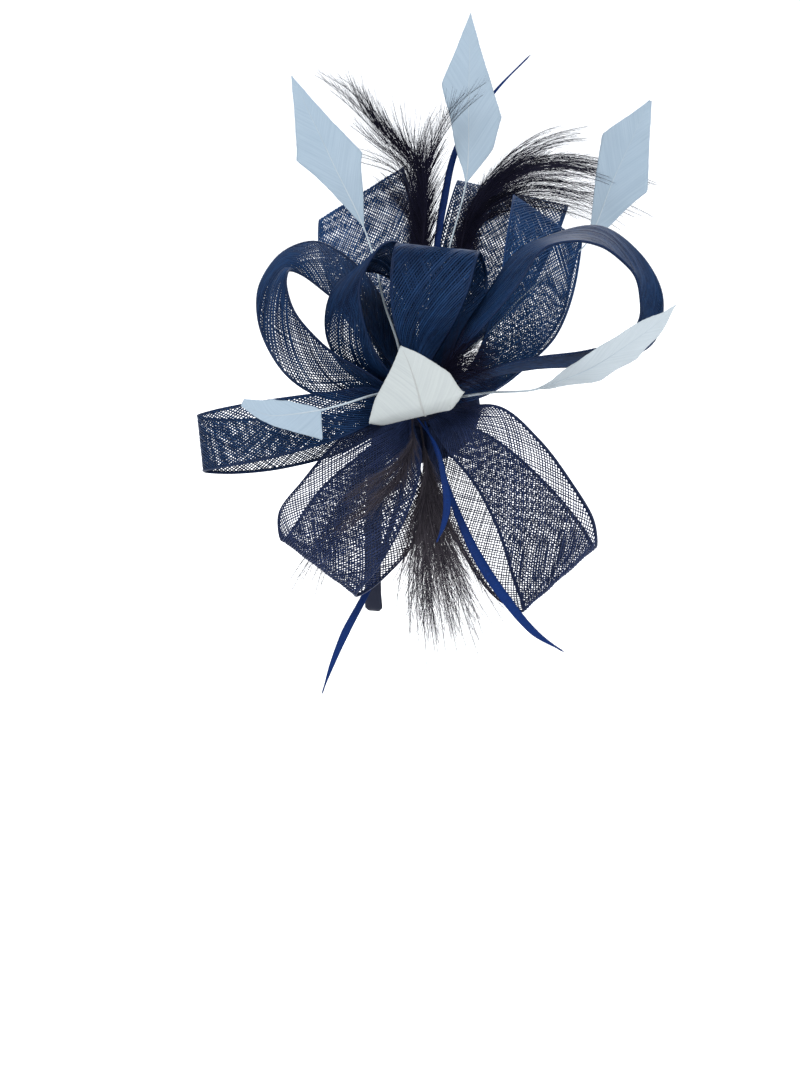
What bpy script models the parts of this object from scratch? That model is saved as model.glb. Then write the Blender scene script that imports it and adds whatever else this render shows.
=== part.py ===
# Bow fascinator: loops of mesh ribbon, cut feathers and hackle sprays bound at one knot,
# on a small base pad and a headband.
# Metres, +Z up, +X to the wearer's front, -Y to the wearer's right.
# The origin is the underside of the headband at its top centre.

from math import asin, cos, pi, radians, sin

import bmesh
import bpy
import numpy as np
from mathutils import Matrix, Vector

# Headband: half an ellipse seen from the front
band_half_span = 0.077  # from the middle to each side
band_drop = 0.095  # from the top down to the widest level
band_sweep = 99.0  # degrees from the top to each end
band_width = 0.007
band_end_width = 0.008
band_thickness = 0.002
band_flare_share = 0.05  # share of each half that widens to the end

# Base pad: a shallow dome over the band
pad_radius = 0.023
pad_thickness = 0.003
pad_crown_radius = 0.120
pad_band_angle = -46.0  # degrees along the band, where the pad sits
pad_front_shift = 0.016  # the pad's middle lies in front of the band
pad_azimuth = 6.0  # degrees that the pad turns to the front
seat_gap = 0.0003

# Knot that every end runs into
knot_radius = 0.010
knot_height = 0.0155
knot_round = 0.003

# Trimmings
spray_reach = 0.100  # the length that the tables below are shares of
narrow_ribbon = 0.0235
middle_ribbon = 0.030
wide_ribbon = 0.050
pinched_width = 0.0075  # a ribbon's end, gathered at the knot
ribbon_thickness = 0.001
feather_thickness = 0.001
quill_width = 0.0014
feather_width = 0.030
spike_width = 0.0042
lock_width = 0.008
lock_cells = 10  # along each lock of a hackle spray
feather_cells = 22
root_radius = 0.0008  # bound root of a hackle spray

# Each ribbon loop: its ribbon, and where its two ends meet the knot (clock in degrees from
# the top, level above the pad in shares of the knot's height, and whether the end lies flat or
# stands on its edge). Its sections run from one end to the other.
# Columns: side, up, out as shares of spray_reach, then the direction across the ribbon in the
# same three axes, and the spread as a share of the ribbon's width.
loops = {
    "crin_loop_centre": {
        "ribbon": "middle", "leave": (-4, 0.92, "flat"), "back": (8, 0.56, "flat"),
        "sections": [
            (0.01, 0.22, 0.28, 1.0, -0.05, 0.0, 0.75),
            (0.03, 0.33, 0.36, 1.0, -0.10, 0.0, 0.95),
            (0.045, 0.44, 0.37, 1.0, -0.10, 0.0, 1.00),
            (0.06, 0.50, 0.29, 1.0, -0.10, 0.0, 1.00),
            (0.085, 0.47, 0.20, 1.0, -0.15, 0.0, 1.00),
            (0.10, 0.36, 0.15, 1.0, -0.15, 0.0, 0.85),
            (0.06, 0.22, 0.11, 1.0, -0.10, 0.0, 0.50),
        ],
    },
    "crin_loop_left_inner": {
        "ribbon": "narrow", "leave": (-64, 0.60, "edge"), "back": (-28, 0.54, "edge"),
        "sections": [
            (-0.23, 0.11, 0.16, 0.50, 0.25, 0.75, 0.75),
            (-0.29, 0.20, 0.23, 0.62, 0.10, 0.75, 1.00),
            (-0.305, 0.32, 0.25, 0.64, 0.00, 0.75, 1.00),
            (-0.275, 0.42, 0.25, 0.62, -0.10, 0.78, 1.00),
            (-0.215, 0.49, 0.24, 0.45, -0.10, 0.85, 1.00),
            (-0.14, 0.515, 0.20, 0.25, 0.00, 0.92, 1.00),
            (-0.095, 0.47, 0.155, 0.10, 0.00, 1.00, 0.95),
            (-0.07, 0.36, 0.125, 0.00, 0.00, 1.00, 0.65),
            (-0.06, 0.22, 0.10, 0.00, 0.00, 1.00, 0.40),
        ],
    },
    "crin_loop_left_outer": {
        "ribbon": "narrow", "leave": (-84, 0.58, "edge"), "back": (-46, 0.54, "edge"),
        "sections": [
            (-0.22, 0.02, 0.12, 0.20, 0.40, 0.85, 0.60),
            (-0.35, 0.045, 0.145, 0.30, 0.50, 0.75, 0.85),
            (-0.46, 0.11, 0.17, 0.50, 0.35, 0.72, 1.00),
            (-0.55, 0.22, 0.19, 0.62, 0.15, 0.72, 1.00),
            (-0.595, 0.34, 0.19, 0.66, 0.00, 0.72, 1.00),
            (-0.60, 0.44, 0.18, 0.62, -0.25, 0.68, 1.00),
            (-0.565, 0.53, 0.155, 0.35, -0.70, 0.60, 1.00),
            (-0.49, 0.575, 0.11, 0.00, -0.90, 0.40, 1.00),
            (-0.39, 0.54, 0.065, -0.10, -0.95, 0.25, 1.00),
            (-0.28, 0.45, 0.055, -0.30, -0.90, 0.30, 0.85),
            (-0.19, 0.32, 0.065, -0.45, -0.75, 0.35, 0.55),
            (-0.13, 0.18, 0.068, -0.40, -0.50, 0.70, 0.36),
        ],
    },
    "crin_loop_left_flat": {
        "ribbon": "narrow", "leave": (-112, 0.84, "flat"), "back": (-114, 0.36, "flat"),
        "sections": [
            (-0.18, -0.09, 0.20, -0.25, 0.95, 0.0, 0.60),
            (-0.28, -0.145, 0.245, -0.25, 0.97, 0.0, 0.75),
            (-0.42, -0.19, 0.26, -0.22, 0.97, 0.0, 0.88),
            (-0.58, -0.225, 0.25, -0.22, 0.97, 0.0, 0.96),
            (-0.74, -0.245, 0.21, -0.22, 0.97, 0.0, 0.96),
            (-0.83, -0.235, 0.12, -0.22, 0.97, 0.0, 0.96),
            (-0.74, -0.21, 0.035, -0.20, 0.97, 0.0, 0.96),
            (-0.55, -0.18, 0.01, -0.20, 0.97, 0.0, 0.90),
            (-0.30, -0.13, 0.02, -0.25, 0.97, 0.0, 0.65),
        ],
    },
    "crin_loop_right_curl": {
        "ribbon": "narrow", "leave": (50, 0.72, "edge"), "back": (88, 0.62, "edge"),
        "sections": [
            (0.17, 0.18, 0.23, 0.38, -0.32, 0.86, 0.70),
            (0.28, 0.31, 0.31, 0.42, -0.34, 0.84, 1.00),
            (0.38, 0.45, 0.36, 0.36, -0.44, 0.82, 1.00),
            (0.49, 0.505, 0.36, 0.30, -0.58, 0.76, 1.00),
            (0.64, 0.537, 0.33, -0.08, -0.76, 0.63, 1.00),
            (0.75, 0.475, 0.30, -0.40, -0.58, 0.71, 1.00),
            (0.82, 0.385, 0.27, -0.55, -0.25, 0.80, 1.00),
            (0.835, 0.30, 0.24, -0.50, -0.05, 0.86, 1.00),
            (0.82, 0.22, 0.21, -0.35, -0.05, 0.93, 1.00),
            (0.74, 0.16, 0.19, -0.10, -0.15, 0.98, 1.00),
            (0.60, 0.13, 0.17, 0.00, -0.22, 0.96, 1.00),
            (0.42, 0.11, 0.16, 0.00, -0.25, 0.95, 0.90),
            (0.23, 0.065, 0.135, 0.00, -0.20, 0.97, 0.60),
        ],
    },
    "crin_loop_lower_left": {
        "ribbon": "wide", "leave": (-150, 0.66, "flat"), "back": (-152, 0.22, "flat"),
        "sections": [
            (-0.12, -0.24, 0.18, 0.93, -0.30, 0.15, 0.62),
            (-0.21, -0.44, 0.20, 0.88, -0.30, 0.30, 0.92),
            (-0.305, -0.60, 0.16, 0.82, -0.45, 0.35, 1.00),
            (-0.345, -0.685, 0.08, 0.75, -0.52, 0.40, 0.88),
            (-0.30, -0.62, 0.00, 0.80, -0.45, 0.40, 0.98),
            (-0.17, -0.42, 0.00, 0.90, -0.30, 0.20, 0.92),
            (-0.09, -0.22, 0.037, 0.95, -0.30, 0.00, 0.40),
        ],
    },
    "crin_loop_lower_right": {
        "ribbon": "wide", "leave": (142, 0.66, "flat"), "back": (146, 0.22, "flat"),
        "sections": [
            (0.20, -0.16, 0.18, 0.70, 0.55, 0.35, 0.48),
            (0.33, -0.30, 0.215, 0.72, 0.38, 0.58, 0.60),
            (0.43, -0.46, 0.215, 0.66, 0.34, 0.67, 0.70),
            (0.50, -0.60, 0.17, 0.64, 0.42, 0.64, 0.78),
            (0.535, -0.695, 0.10, 0.64, 0.58, 0.50, 0.72),
            (0.46, -0.61, 0.01, 0.70, 0.54, 0.42, 0.86),
            (0.30, -0.39, -0.01, 0.80, 0.42, 0.34, 0.80),
            (0.15, -0.19, 0.02, 0.80, 0.50, 0.10, 0.50),
        ],
    },
    "crin_loop_upper_right": {
        "ribbon": "wide", "leave": (72, 0.30, "flat"), "back": (72, 0.15, "flat"),
        "sections": [
            (0.22, 0.09, 0.035, 0.80, -0.55, 0.0, 0.26),
            (0.32, 0.20, 0.065, 0.97, -0.15, -0.15, 0.40),
            (0.41, 0.40, 0.09, 0.80, -0.10, -0.50, 0.60),
            (0.445, 0.62, 0.10, 0.64, -0.08, -0.65, 0.78),
            (0.475, 0.81, 0.04, 0.67, -0.05, -0.60, 0.80),
            (0.47, 0.70, -0.05, 0.65, -0.10, -0.60, 0.80),
            (0.41, 0.42, -0.045, 0.80, -0.15, -0.45, 0.60),
            (0.32, 0.21, -0.005, 0.97, -0.15, -0.10, 0.40),
            (0.21, 0.09, 0.005, 0.80, -0.55, 0.0, 0.26),
        ],
    },
    "crin_loop_upper_left": {
        "ribbon": "wide", "leave": (-34, 0.21, "flat"), "back": (-34, 0.09, "flat"),
        "sections": [
            (-0.14, 0.27, 0.005, 0.90, 0.40, 0.0, 0.38),
            (-0.22, 0.56, -0.06, 0.90, 0.38, 0.15, 0.75),
            (-0.30, 0.84, -0.05, 0.86, 0.42, 0.25, 0.90),
            (-0.335, 1.02, -0.09, 0.85, 0.38, 0.30, 0.86),
            (-0.31, 0.91, -0.17, 0.84, 0.45, 0.25, 0.90),
            (-0.22, 0.61, -0.15, 0.90, 0.38, 0.15, 0.75),
            (-0.13, 0.30, -0.018, 0.90, 0.40, 0.0, 0.36),
        ],
    },
    "crin_loop_upper_middle": {
        "ribbon": "wide", "leave": (12, 0.21, "flat"), "back": (12, 0.09, "flat"),
        "sections": [
            (0.11, 0.29, 0.005, 0.97, -0.20, 0.0, 0.36),
            (0.20, 0.60, -0.12, 0.97, -0.22, 0.0, 0.80),
            (0.29, 0.92, -0.12, 0.97, -0.25, 0.0, 0.97),
            (0.33, 1.08, -0.16, 0.97, -0.25, 0.0, 1.00),
            (0.30, 0.98, -0.24, 0.97, -0.25, 0.0, 0.97),
            (0.20, 0.64, -0.23, 0.97, -0.22, 0.0, 0.80),
            (0.11, 0.31, -0.018, 0.97, -0.20, 0.0, 0.36),
        ],
    },
}

# Each feather or spike: where its root meets the knot, the direction across it, and its
# sections from the root to the tip.
# Columns: side, up, out as shares of spray_reach, then how far the vane stands to the left and
# to the right of the quill, as shares of feather_width or spike_width.
feathers = {
    "cut_feather_upper_left": {
        "root": (-37, 0.52), "across": (1.0, 0.0, 0.15), "width": "feather",
        "sections": [
            (-0.105, 0.22, 0.115, 0.0, 0.0),
            (-0.165, 0.38, 0.105, 0.0, 0.0),
            (-0.22, 0.58, 0.055, 0.0, 0.0),
            (-0.28, 0.745, 0.07, 0.0, 0.0),
            (-0.41, 0.985, 0.125, 0.28, 0.42),
            (-0.465, 1.09, 0.145, 0.45, 0.30),
            (-0.615, 1.37, 0.20, 0.0, 0.0),
        ],
    },
    "cut_feather_upper_middle": {
        "root": (17, 0.35), "across": (1.0, 0.0, 0.0), "width": "feather",
        "sections": [
            (0.04, 0.30, 0.05, 0.0, 0.0),
            (0.065, 0.60, 0.045, 0.0, 0.0),
            (0.13, 0.95, 0.07, 0.0, 0.0),
            (0.135, 1.10, 0.095, 0.18, 0.34),
            (0.13, 1.22, 0.13, 0.25, 0.45),
            (0.125, 1.36, 0.17, 0.38, 0.30),
            (0.12, 1.62, 0.25, 0.0, 0.0),
        ],
    },
    "cut_feather_upper_right": {
        "root": (36, 0.62), "across": (0.92, -0.35, 0.10), "width": "feather",
        "sections": [
            (0.24, 0.27, 0.072, 0.0, 0.0),
            (0.39, 0.47, 0.04, 0.0, 0.0),
            (0.54, 0.67, -0.065, 0.0, 0.0),
            (0.65, 0.80, -0.10, 0.0, 0.0),
            (0.74, 1.03, -0.01, 0.26, 0.50),
            (0.80, 1.17, 0.04, 0.42, 0.28),
            (0.865, 1.315, 0.11, 0.0, 0.03),
        ],
    },
    "cut_feather_right": {
        "root": (100, 0.70), "across": (-0.18, 0.28, 0.94), "width": "feather",
        "sections": [
            (0.25, 0.005, 0.12, 0.0, 0.0),
            (0.42, 0.00, 0.17, 0.0, 0.0),
            (0.50, 0.01, 0.22, 0.08, 0.08),
            (0.62, 0.04, 0.29, 0.26, 0.26),
            (0.74, 0.11, 0.34, 0.30, 0.28),
            (0.82, 0.17, 0.36, 0.22, 0.18),
            (0.89, 0.24, 0.37, 0.0, 0.0),
        ],
    },
    "cut_feather_left": {
        "root": (-96, 0.93), "across": (0.10, 0.95, 0.25), "width": "feather",
        "sections": [
            (-0.17, -0.07, 0.24, 0.0, 0.0),
            (-0.26, -0.137, 0.31, 0.0, 0.0),
            (-0.33, -0.172, 0.34, 0.02, 0.0),
            (-0.34, -0.175, 0.342, 0.36, 0.03),
            (-0.43, -0.200, 0.36, 0.20, 0.16),
            (-0.51, -0.205, 0.36, 0.09, 0.20),
            (-0.61, -0.165, 0.36, 0.03, 0.06),
        ],
    },
    "blue_spike_lower_left": {
        "root": (-168, 0.10), "across": (0.95, -0.30, 0.0), "width": "spike",
        "sections": [
            (-0.04, -0.24, 0.00, 0.25, 0.25),
            (-0.08, -0.41, -0.07, 0.30, 0.30),
            (-0.17, -0.71, -0.12, 0.40, 0.40),
            (-0.255, -0.90, -0.14, 0.50, 0.50),
            (-0.30, -1.03, -0.15, 0.30, 0.30),
            (-0.33, -1.14, -0.16, 0.0, 0.0),
        ],
    },
    "blue_spike_lower_right": {
        "root": (168, 0.62), "across": (0.85, 0.50, 0.0), "width": "spike",
        "sections": [
            (0.12, -0.36, 0.14, 0.20, 0.20),
            (0.165, -0.48, 0.16, 0.40, 0.40),
            (0.245, -0.64, 0.17, 0.55, 0.55),
            (0.35, -0.785, 0.16, 0.55, 0.55),
            (0.45, -0.89, 0.14, 0.40, 0.40),
            (0.56, -0.95, 0.10, 0.0, 0.0),
        ],
    },
    "blue_spike_lower_small": {
        "root": (-179, 0.80), "across": (1.0, 0.10, 0.0), "width": "spike",
        "sections": [
            (0.08, -0.25, 0.21, 0.20, 0.20),
            (0.11, -0.36, 0.23, 0.35, 0.35),
            (0.13, -0.465, 0.24, 0.45, 0.45),
            (0.12, -0.55, 0.24, 0.28, 0.28),
            (0.10, -0.61, 0.24, 0.0, 0.0),
        ],
    },
    "blue_spike_upper": {
        "root": (6, 0.35), "across": (0.95, -0.30, 0.0), "width": "spike",
        "sections": [
            (0.015, 0.30, 0.045, 0.20, 0.20),
            (0.02, 0.62, 0.02, 0.40, 0.40),
            (0.04, 0.90, 0.02, 0.50, 0.50),
            (0.09, 1.16, 0.05, 0.40, 0.40),
            (0.23, 1.37, 0.10, 0.20, 0.20),
            (0.375, 1.51, 0.15, 0.0, 0.0),
        ],
    },
}

# The front feather springs from the top of the knot and curls back up over it.
front_feather = {
    "name": "cut_feather_front", "across": (0.96, 0.28, 0.0),
    "sections": [
        (0.02, -0.05, 0.175, 0.0, 0.0),
        (0.03, -0.10, 0.215, 0.06, 0.06),
        (0.035, -0.145, 0.25, 0.45, 0.35),
        (0.025, -0.135, 0.30, 0.66, 0.54),
        (0.00, -0.06, 0.335, 0.48, 0.42),
        (-0.03, 0.015, 0.35, 0.22, 0.20),
        (-0.06, 0.075, 0.35, 0.0, 0.0),
    ],
}

# Each hackle spray: where its root meets the knot, the place where its locks part, and its
# locks. A lock has the direction across it, its width as a share of lock_width, and its places
# from the parting to the tip.
sprays = {
    "hackle_upper_left": {
        "root": (-17, 0.35), "parting": (-0.065, 0.62, 0.045),
        "locks": [
            ((0.65, 0.75, 0.0), 1.00, [(-0.06, 0.84, 0.07), (-0.07, 1.00, 0.10),
                                       (-0.22, 1.15, 0.14), (-0.375, 1.30, 0.18),
                                       (-0.53, 1.40, 0.20)]),
            ((0.60, 0.80, 0.0), 0.70, [(-0.075, 0.84, 0.055), (-0.12, 1.02, 0.08),
                                       (-0.25, 1.10, 0.14), (-0.37, 1.16, 0.22)]),
            ((0.40, 0.90, 0.0), 0.65, [(-0.08, 0.82, 0.04), (-0.15, 1.02, 0.04),
                                       (-0.30, 1.11, 0.03), (-0.52, 1.16, 0.03)]),
            ((0.55, 0.85, 0.0), 0.80, [(-0.085, 0.80, 0.03), (-0.145, 0.91, 0.03),
                                       (-0.22, 0.99, 0.03), (-0.30, 1.05, 0.03)]),
        ],
    },
    "hackle_upper_middle": {
        "root": (-5, 0.35), "parting": (-0.03, 0.66, 0.06),
        "locks": [
            ((0.90, -0.45, 0.0), 0.90, [(-0.035, 0.85, 0.09), (-0.02, 1.02, 0.13),
                                        (0.04, 1.14, 0.19), (0.12, 1.21, 0.235),
                                        (0.23, 1.27, 0.27)]),
            ((0.95, -0.20, 0.0), 0.60, [(-0.035, 0.85, 0.10), (-0.05, 1.02, 0.14),
                                        (-0.03, 1.14, 0.18), (0.03, 1.24, 0.22)]),
        ],
    },
    "hackle_right": {
        "root": (28, 0.35), "parting": (0.115, 0.60, 0.04),
        "locks": [
            ((-0.45, 0.90, 0.0), 1.30, [(0.16, 0.84, 0.04), (0.32, 1.03, 0.04),
                                        (0.52, 1.11, 0.00), (0.72, 1.12, -0.05),
                                        (0.97, 1.06, -0.08)]),
            ((-0.45, 0.90, 0.0), 1.00, [(0.15, 0.82, 0.06), (0.28, 1.02, 0.08),
                                        (0.46, 1.16, 0.07), (0.68, 1.25, 0.04)]),
            ((-0.20, 0.97, 0.0), 0.75, [(0.16, 0.82, 0.07), (0.32, 0.96, 0.09),
                                        (0.50, 1.00, 0.10), (0.66, 0.96, 0.12),
                                        (0.79, 0.87, 0.14)]),
            ((-0.10, 0.97, 0.0), 0.90, [(0.18, 0.84, 0.02), (0.38, 1.00, -0.01),
                                        (0.60, 1.02, -0.06), (0.80, 0.98, -0.09),
                                        (0.98, 0.90, -0.10)]),
            ((0.30, 0.90, 0.0), 0.80, [(0.18, 0.80, 0.01), (0.38, 0.95, -0.04),
                                       (0.60, 0.97, -0.10), (0.78, 0.90, -0.13),
                                       (0.88, 0.80, -0.14)]),
        ],
    },
    "hackle_lower_front": {
        "root": (-168, 0.86), "parting": (-0.01, -0.22, 0.205),
        "locks": [
            ((0.75, -0.65, 0.0), 1.00, [(-0.04, -0.38, 0.26), (-0.14, -0.50, 0.28),
                                        (-0.27, -0.62, 0.26)]),
            ((0.70, -0.70, 0.0), 0.70, [(-0.05, -0.34, 0.27), (-0.15, -0.43, 0.29),
                                        (-0.25, -0.51, 0.29)]),
        ],
    },
    "hackle_lower_back": {
        "root": (-124, 0.12), "parting": (-0.17, -0.20, 0.010),
        "locks": [
            ((0.75, -0.65, 0.0), 0.80, [(-0.27, -0.36, -0.06), (-0.38, -0.55, -0.11),
                                        (-0.46, -0.69, -0.135), (-0.50, -0.77, -0.15)]),
            ((0.80, -0.60, 0.0), 0.80, [(-0.26, -0.37, -0.07), (-0.33, -0.55, -0.115),
                                        (-0.38, -0.70, -0.14), (-0.40, -0.80, -0.16)]),
        ],
    },
    "hackle_lower_middle": {
        "root": (178, 0.36), "parting": (0.04, -0.28, 0.08),
        "locks": [
            ((1.0, 0.0, 0.0), 1.20, [(0.04, -0.52, 0.08), (0.05, -0.78, 0.06),
                                     (0.08, -1.02, 0.03)]),
            ((1.0, 0.10, 0.0), 1.00, [(0.07, -0.52, 0.075), (0.11, -0.78, 0.06),
                                      (0.15, -1.00, 0.04)]),
            ((0.95, 0.30, 0.0), 0.90, [(0.10, -0.52, 0.07), (0.18, -0.77, 0.05),
                                       (0.26, -1.00, 0.03)]),
            ((0.90, 0.40, 0.0), 0.80, [(0.12, -0.50, 0.08), (0.24, -0.72, 0.06),
                                       (0.37, -0.90, 0.03)]),
            ((0.97, -0.20, 0.0), 0.70, [(0.01, -0.52, 0.085), (0.00, -0.74, 0.07),
                                        (0.01, -0.92, 0.04)]),
        ],
    },
}

# The centre tuft stands on the top of the knot and leans to the front.
tuft = {
    "name": "hackle_centre_tuft",
    "parting": (0.06, 0.015, 0.19),
    "locks": [
        ((0.0, 0.95, 0.30), 0.80, [(0.12, 0.03, 0.23), (0.19, 0.03, 0.24), (0.27, 0.00, 0.24)]),
        ((-0.30, 0.90, 0.30), 0.80, [(0.11, 0.06, 0.23), (0.18, 0.09, 0.25), (0.24, 0.10, 0.25)]),
        ((0.20, 0.95, 0.30), 0.70, [(0.11, -0.02, 0.24), (0.16, -0.05, 0.27), (0.21, -0.08, 0.28)]),
    ],
}


def clear_scene():
    for item in list(bpy.data.objects):
        bpy.data.objects.remove(item, do_unlink=True)


def new_collection(name):
    collection = bpy.data.collections.new(name)
    bpy.context.scene.collection.children.link(collection)
    return collection


def new_material(name, color, roughness, metallic=0.0, alpha=1.0):
    material = bpy.data.materials.new(name)
    material.use_nodes = True
    shader = material.node_tree.nodes["Principled BSDF"]
    shader.inputs["Base Color"].default_value = (*color, 1.0)
    shader.inputs["Roughness"].default_value = roughness
    shader.inputs["Metallic"].default_value = metallic
    shader.inputs["Alpha"].default_value = alpha
    return material


def add_object(collection, name, mesh, material):
    item = bpy.data.objects.new(name, mesh)
    collection.objects.link(item)
    mesh.materials.clear()
    mesh.materials.append(material)
    return item


# Band and spray frame


def band_point(angle):
    """Underside of the band at an angle in degrees from the top."""
    turn = radians(angle)
    return Vector((0.0, band_half_span * sin(turn), -band_drop * (1.0 - cos(turn))))


def band_normal(angle):
    turn = radians(angle)
    return Vector((0.0, band_drop * sin(turn), band_half_span * cos(turn))).normalized()


class SprayFrame:
    """Side, up and out from the middle of the pad's outer face."""

    def __init__(self):
        seat = band_point(pad_band_angle) + band_normal(pad_band_angle) * band_thickness
        normal = band_normal(pad_band_angle)
        turn = Matrix.Rotation(radians(pad_azimuth), 3, "Z")
        self.out = turn @ normal
        self.side = turn @ Vector((1.0, 0.0, 0.0))
        self.up = self.out.cross(self.side)
        inner = pad_crown_radius - pad_thickness
        lean = asin(pad_front_shift / inner)
        edge_lift = band_width / 2 * abs(sin(lean - radians(pad_azimuth)))
        reach = inner - seat_gap - edge_lift
        contact = self.out * cos(lean) - self.side * sin(lean)
        self.origin = seat - contact * reach + self.out * pad_crown_radius

    def point(self, side, up, out):
        return self.origin + self.side * side + self.up * up + self.out * out

    def direction(self, side, up, out):
        return (self.side * side + self.up * up + self.out * out).normalized()

    def matrix(self):
        turn = Matrix((self.side, self.up, self.out)).transposed()
        return Matrix.Translation(self.origin) @ turn.to_4x4()


def share(frame, row):
    return frame.point(*(value * spray_reach for value in row[:3]))


def knot_place(frame, clock, level, standoff=0.0):
    """A place just off the knot's side: clock in degrees, level as a share of its height."""
    radius = knot_radius + seat_gap + standoff
    turn = radians(clock)
    return frame.point(radius * sin(turn), radius * cos(turn), level * knot_height)


# Smooth rows


def smooth_rows(rows, count, straight_from=None):
    """Even steps along a smooth curve through rows whose first three columns are a place.
    The columns from straight_from on change evenly between rows, which keeps corners sharp."""
    rows = np.asarray(rows, float)
    steps = np.linalg.norm(np.diff(rows[:, :3], axis=0), axis=1) ** 0.5
    knots = np.concatenate([[0.0], np.cumsum(steps)])
    slopes = np.zeros_like(rows)
    spans = np.diff(knots)[:, None]
    gradients = np.diff(rows, axis=0) / spans
    slopes[1:-1] = (gradients[:-1] * spans[1:] + gradients[1:] * spans[:-1]) / (
        spans[:-1] + spans[1:]
    )
    slopes[0] = gradients[0]
    slopes[-1] = gradients[-1]

    def at(values):
        index = np.clip(np.searchsorted(knots, values, side="right") - 1, 0, len(rows) - 2)
        span = (knots[index + 1] - knots[index])[:, None]
        part = (values - knots[index])[:, None] / span
        found = (
            rows[index] * (2 * part**3 - 3 * part**2 + 1)
            + rows[index + 1] * (3 * part**2 - 2 * part**3)
            + slopes[index] * span * (part**3 - 2 * part**2 + part)
            + slopes[index + 1] * span * (part**3 - part**2)
        )
        if straight_from is not None:
            even = rows[index] * (1 - part) + rows[index + 1] * part
            found[:, straight_from:] = even[:, straight_from:]
        return found

    fine = np.linspace(0.0, knots[-1], 400)
    lengths = np.linalg.norm(np.diff(at(fine)[:, :3], axis=0), axis=1)
    along = np.concatenate([[0.0], np.cumsum(lengths)])
    wanted = np.interp(np.linspace(0.0, along[-1], count), along, fine)
    return at(wanted)


def strip_mesh(name, rows, across_cells, ripple=0.0):
    """A strip through rows of place (3), direction across (3), left and right half widths (2)."""
    rows = np.asarray(rows)
    cells = len(rows) - 1
    mesh = bpy.data.meshes.new(name)
    builder = bmesh.new()
    bmesh.ops.create_grid(builder, x_segments=cells, y_segments=across_cells, size=0.5)
    tangents = np.gradient(rows[:, :3], axis=0)
    for vertex in builder.verts:
        row = int(round((vertex.co.x + 0.5) * cells))
        place = vertex.co.y * 2.0
        across = Vector(rows[row, 3:6]).normalized()
        half = rows[row, 6] if place < 0 else rows[row, 7]
        normal = across.cross(Vector(tangents[row])).normalized()
        gathered = 1.0 - half / rows[:, 6:8].max()
        along = row / cells
        easing = min(1.0, 8.0 * along * (1.0 - along))
        lift = ripple * gathered * easing * cos(3.0 * pi * place)
        vertex.co = Vector(rows[row, :3]) + across * half * place + normal * lift
    builder.to_mesh(mesh)
    builder.free()
    mesh.shade_smooth()
    return mesh


def add_wall(item, thickness):
    wall = item.modifiers.new("wall", "SOLIDIFY")
    wall.thickness = thickness
    wall.offset = 0.0
    wall.use_even_offset = False


# Pieces


def make_headband(collection, material):
    rows = []
    for angle in np.linspace(-band_sweep, band_sweep, 41):
        middle = band_point(angle) + band_normal(angle) * band_thickness / 2
        from_end = (band_sweep - abs(angle)) / band_sweep
        flare = max(0.0, 1.0 - from_end / band_flare_share)
        half = (band_width + (band_end_width - band_width) * flare) / 2
        if from_end == 0.0:
            half *= 0.6
        rows.append((*middle, 1.0, 0.0, 0.0, half, half))
    mesh = strip_mesh("headband", rows, 2)
    item = add_object(collection, "headband", mesh, material)
    add_wall(item, band_thickness)
    return item


def turned(collection, name, frame, profile, material, steps):
    """A solid turned about the out axis from radius and height pairs, top first."""
    mesh = bpy.data.meshes.new(name)
    builder = bmesh.new()
    corners = [builder.verts.new((radius, 0.0, height)) for radius, height in profile]
    for first, second in zip(corners, corners[1:]):
        builder.edges.new((first, second))
    builder.to_mesh(mesh)
    builder.free()
    item = add_object(collection, name, mesh, material)
    item.matrix_world = frame.matrix()
    screw = item.modifiers.new("turn", "SCREW")
    screw.steps = steps
    screw.render_steps = steps
    screw.use_merge_vertices = True
    screw.merge_threshold = 0.00001
    return item


def make_pad(collection, frame, material):
    outer, inner = pad_crown_radius, pad_crown_radius - pad_thickness
    edge = asin(pad_radius / outer)
    bend = [edge * step / 4 for step in range(5)]
    top = [(outer * sin(turn), outer * cos(turn) - outer) for turn in bend]
    under = [(inner * sin(turn), inner * cos(turn) - outer) for turn in reversed(bend)]
    return turned(collection, "base_pad", frame, top + under, material, 32)


def make_knot(collection, frame, material):
    base = seat_gap
    side = knot_radius - knot_round
    top = knot_height - knot_round
    turns = [radians(90.0 - 22.5 * step) for step in range(5)]
    round_edge = [(side + knot_round * cos(turn), top + knot_round * sin(turn)) for turn in turns]
    profile = [(0.0, knot_height), *round_edge, (knot_radius, base), (0.0, base)]
    return turned(collection, "knot", frame, profile, material, 24)


def loop_end(frame, clock, level, lie):
    """Place of a ribbon's end just off the knot, and the direction across it."""
    turn = radians(clock)
    if lie == "flat":
        across = frame.direction(cos(turn), -sin(turn), 0.0)
    else:
        across = frame.direction(0.0, 0.0, 1.0)
    return knot_place(frame, clock, level, ribbon_thickness / 2), across


def make_loop(collection, frame, name, loop, material):
    width = {"narrow": narrow_ribbon, "middle": middle_ribbon, "wide": wide_ribbon}[loop["ribbon"]]
    rows = []
    for side, up, out, across_side, across_up, across_out, spread in loop["sections"]:
        place = share(frame, (side, up, out))
        across = frame.direction(across_side, across_up, across_out)
        rows.append([*place, *across, spread * width / 2, spread * width / 2])
    for end, where in (("leave", 0), ("back", len(rows))):
        place, across = loop_end(frame, *loop[end])
        near = rows[0 if where == 0 else -1]
        if across.dot(Vector(near[3:6])) < 0.0:
            across = -across
        rows.insert(where if where == 0 else len(rows),
                    [*place, *across, pinched_width / 2, pinched_width / 2])
    wide = loop["ribbon"] == "wide"
    cells = 20 if wide else 28
    smooth = smooth_rows(rows, cells + 1)
    mesh = strip_mesh(name, smooth, 4 if wide else 2, ripple=0.0008 if wide else 0.0)
    item = add_object(collection, name, mesh, material)
    add_wall(item, ribbon_thickness)
    return item


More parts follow.
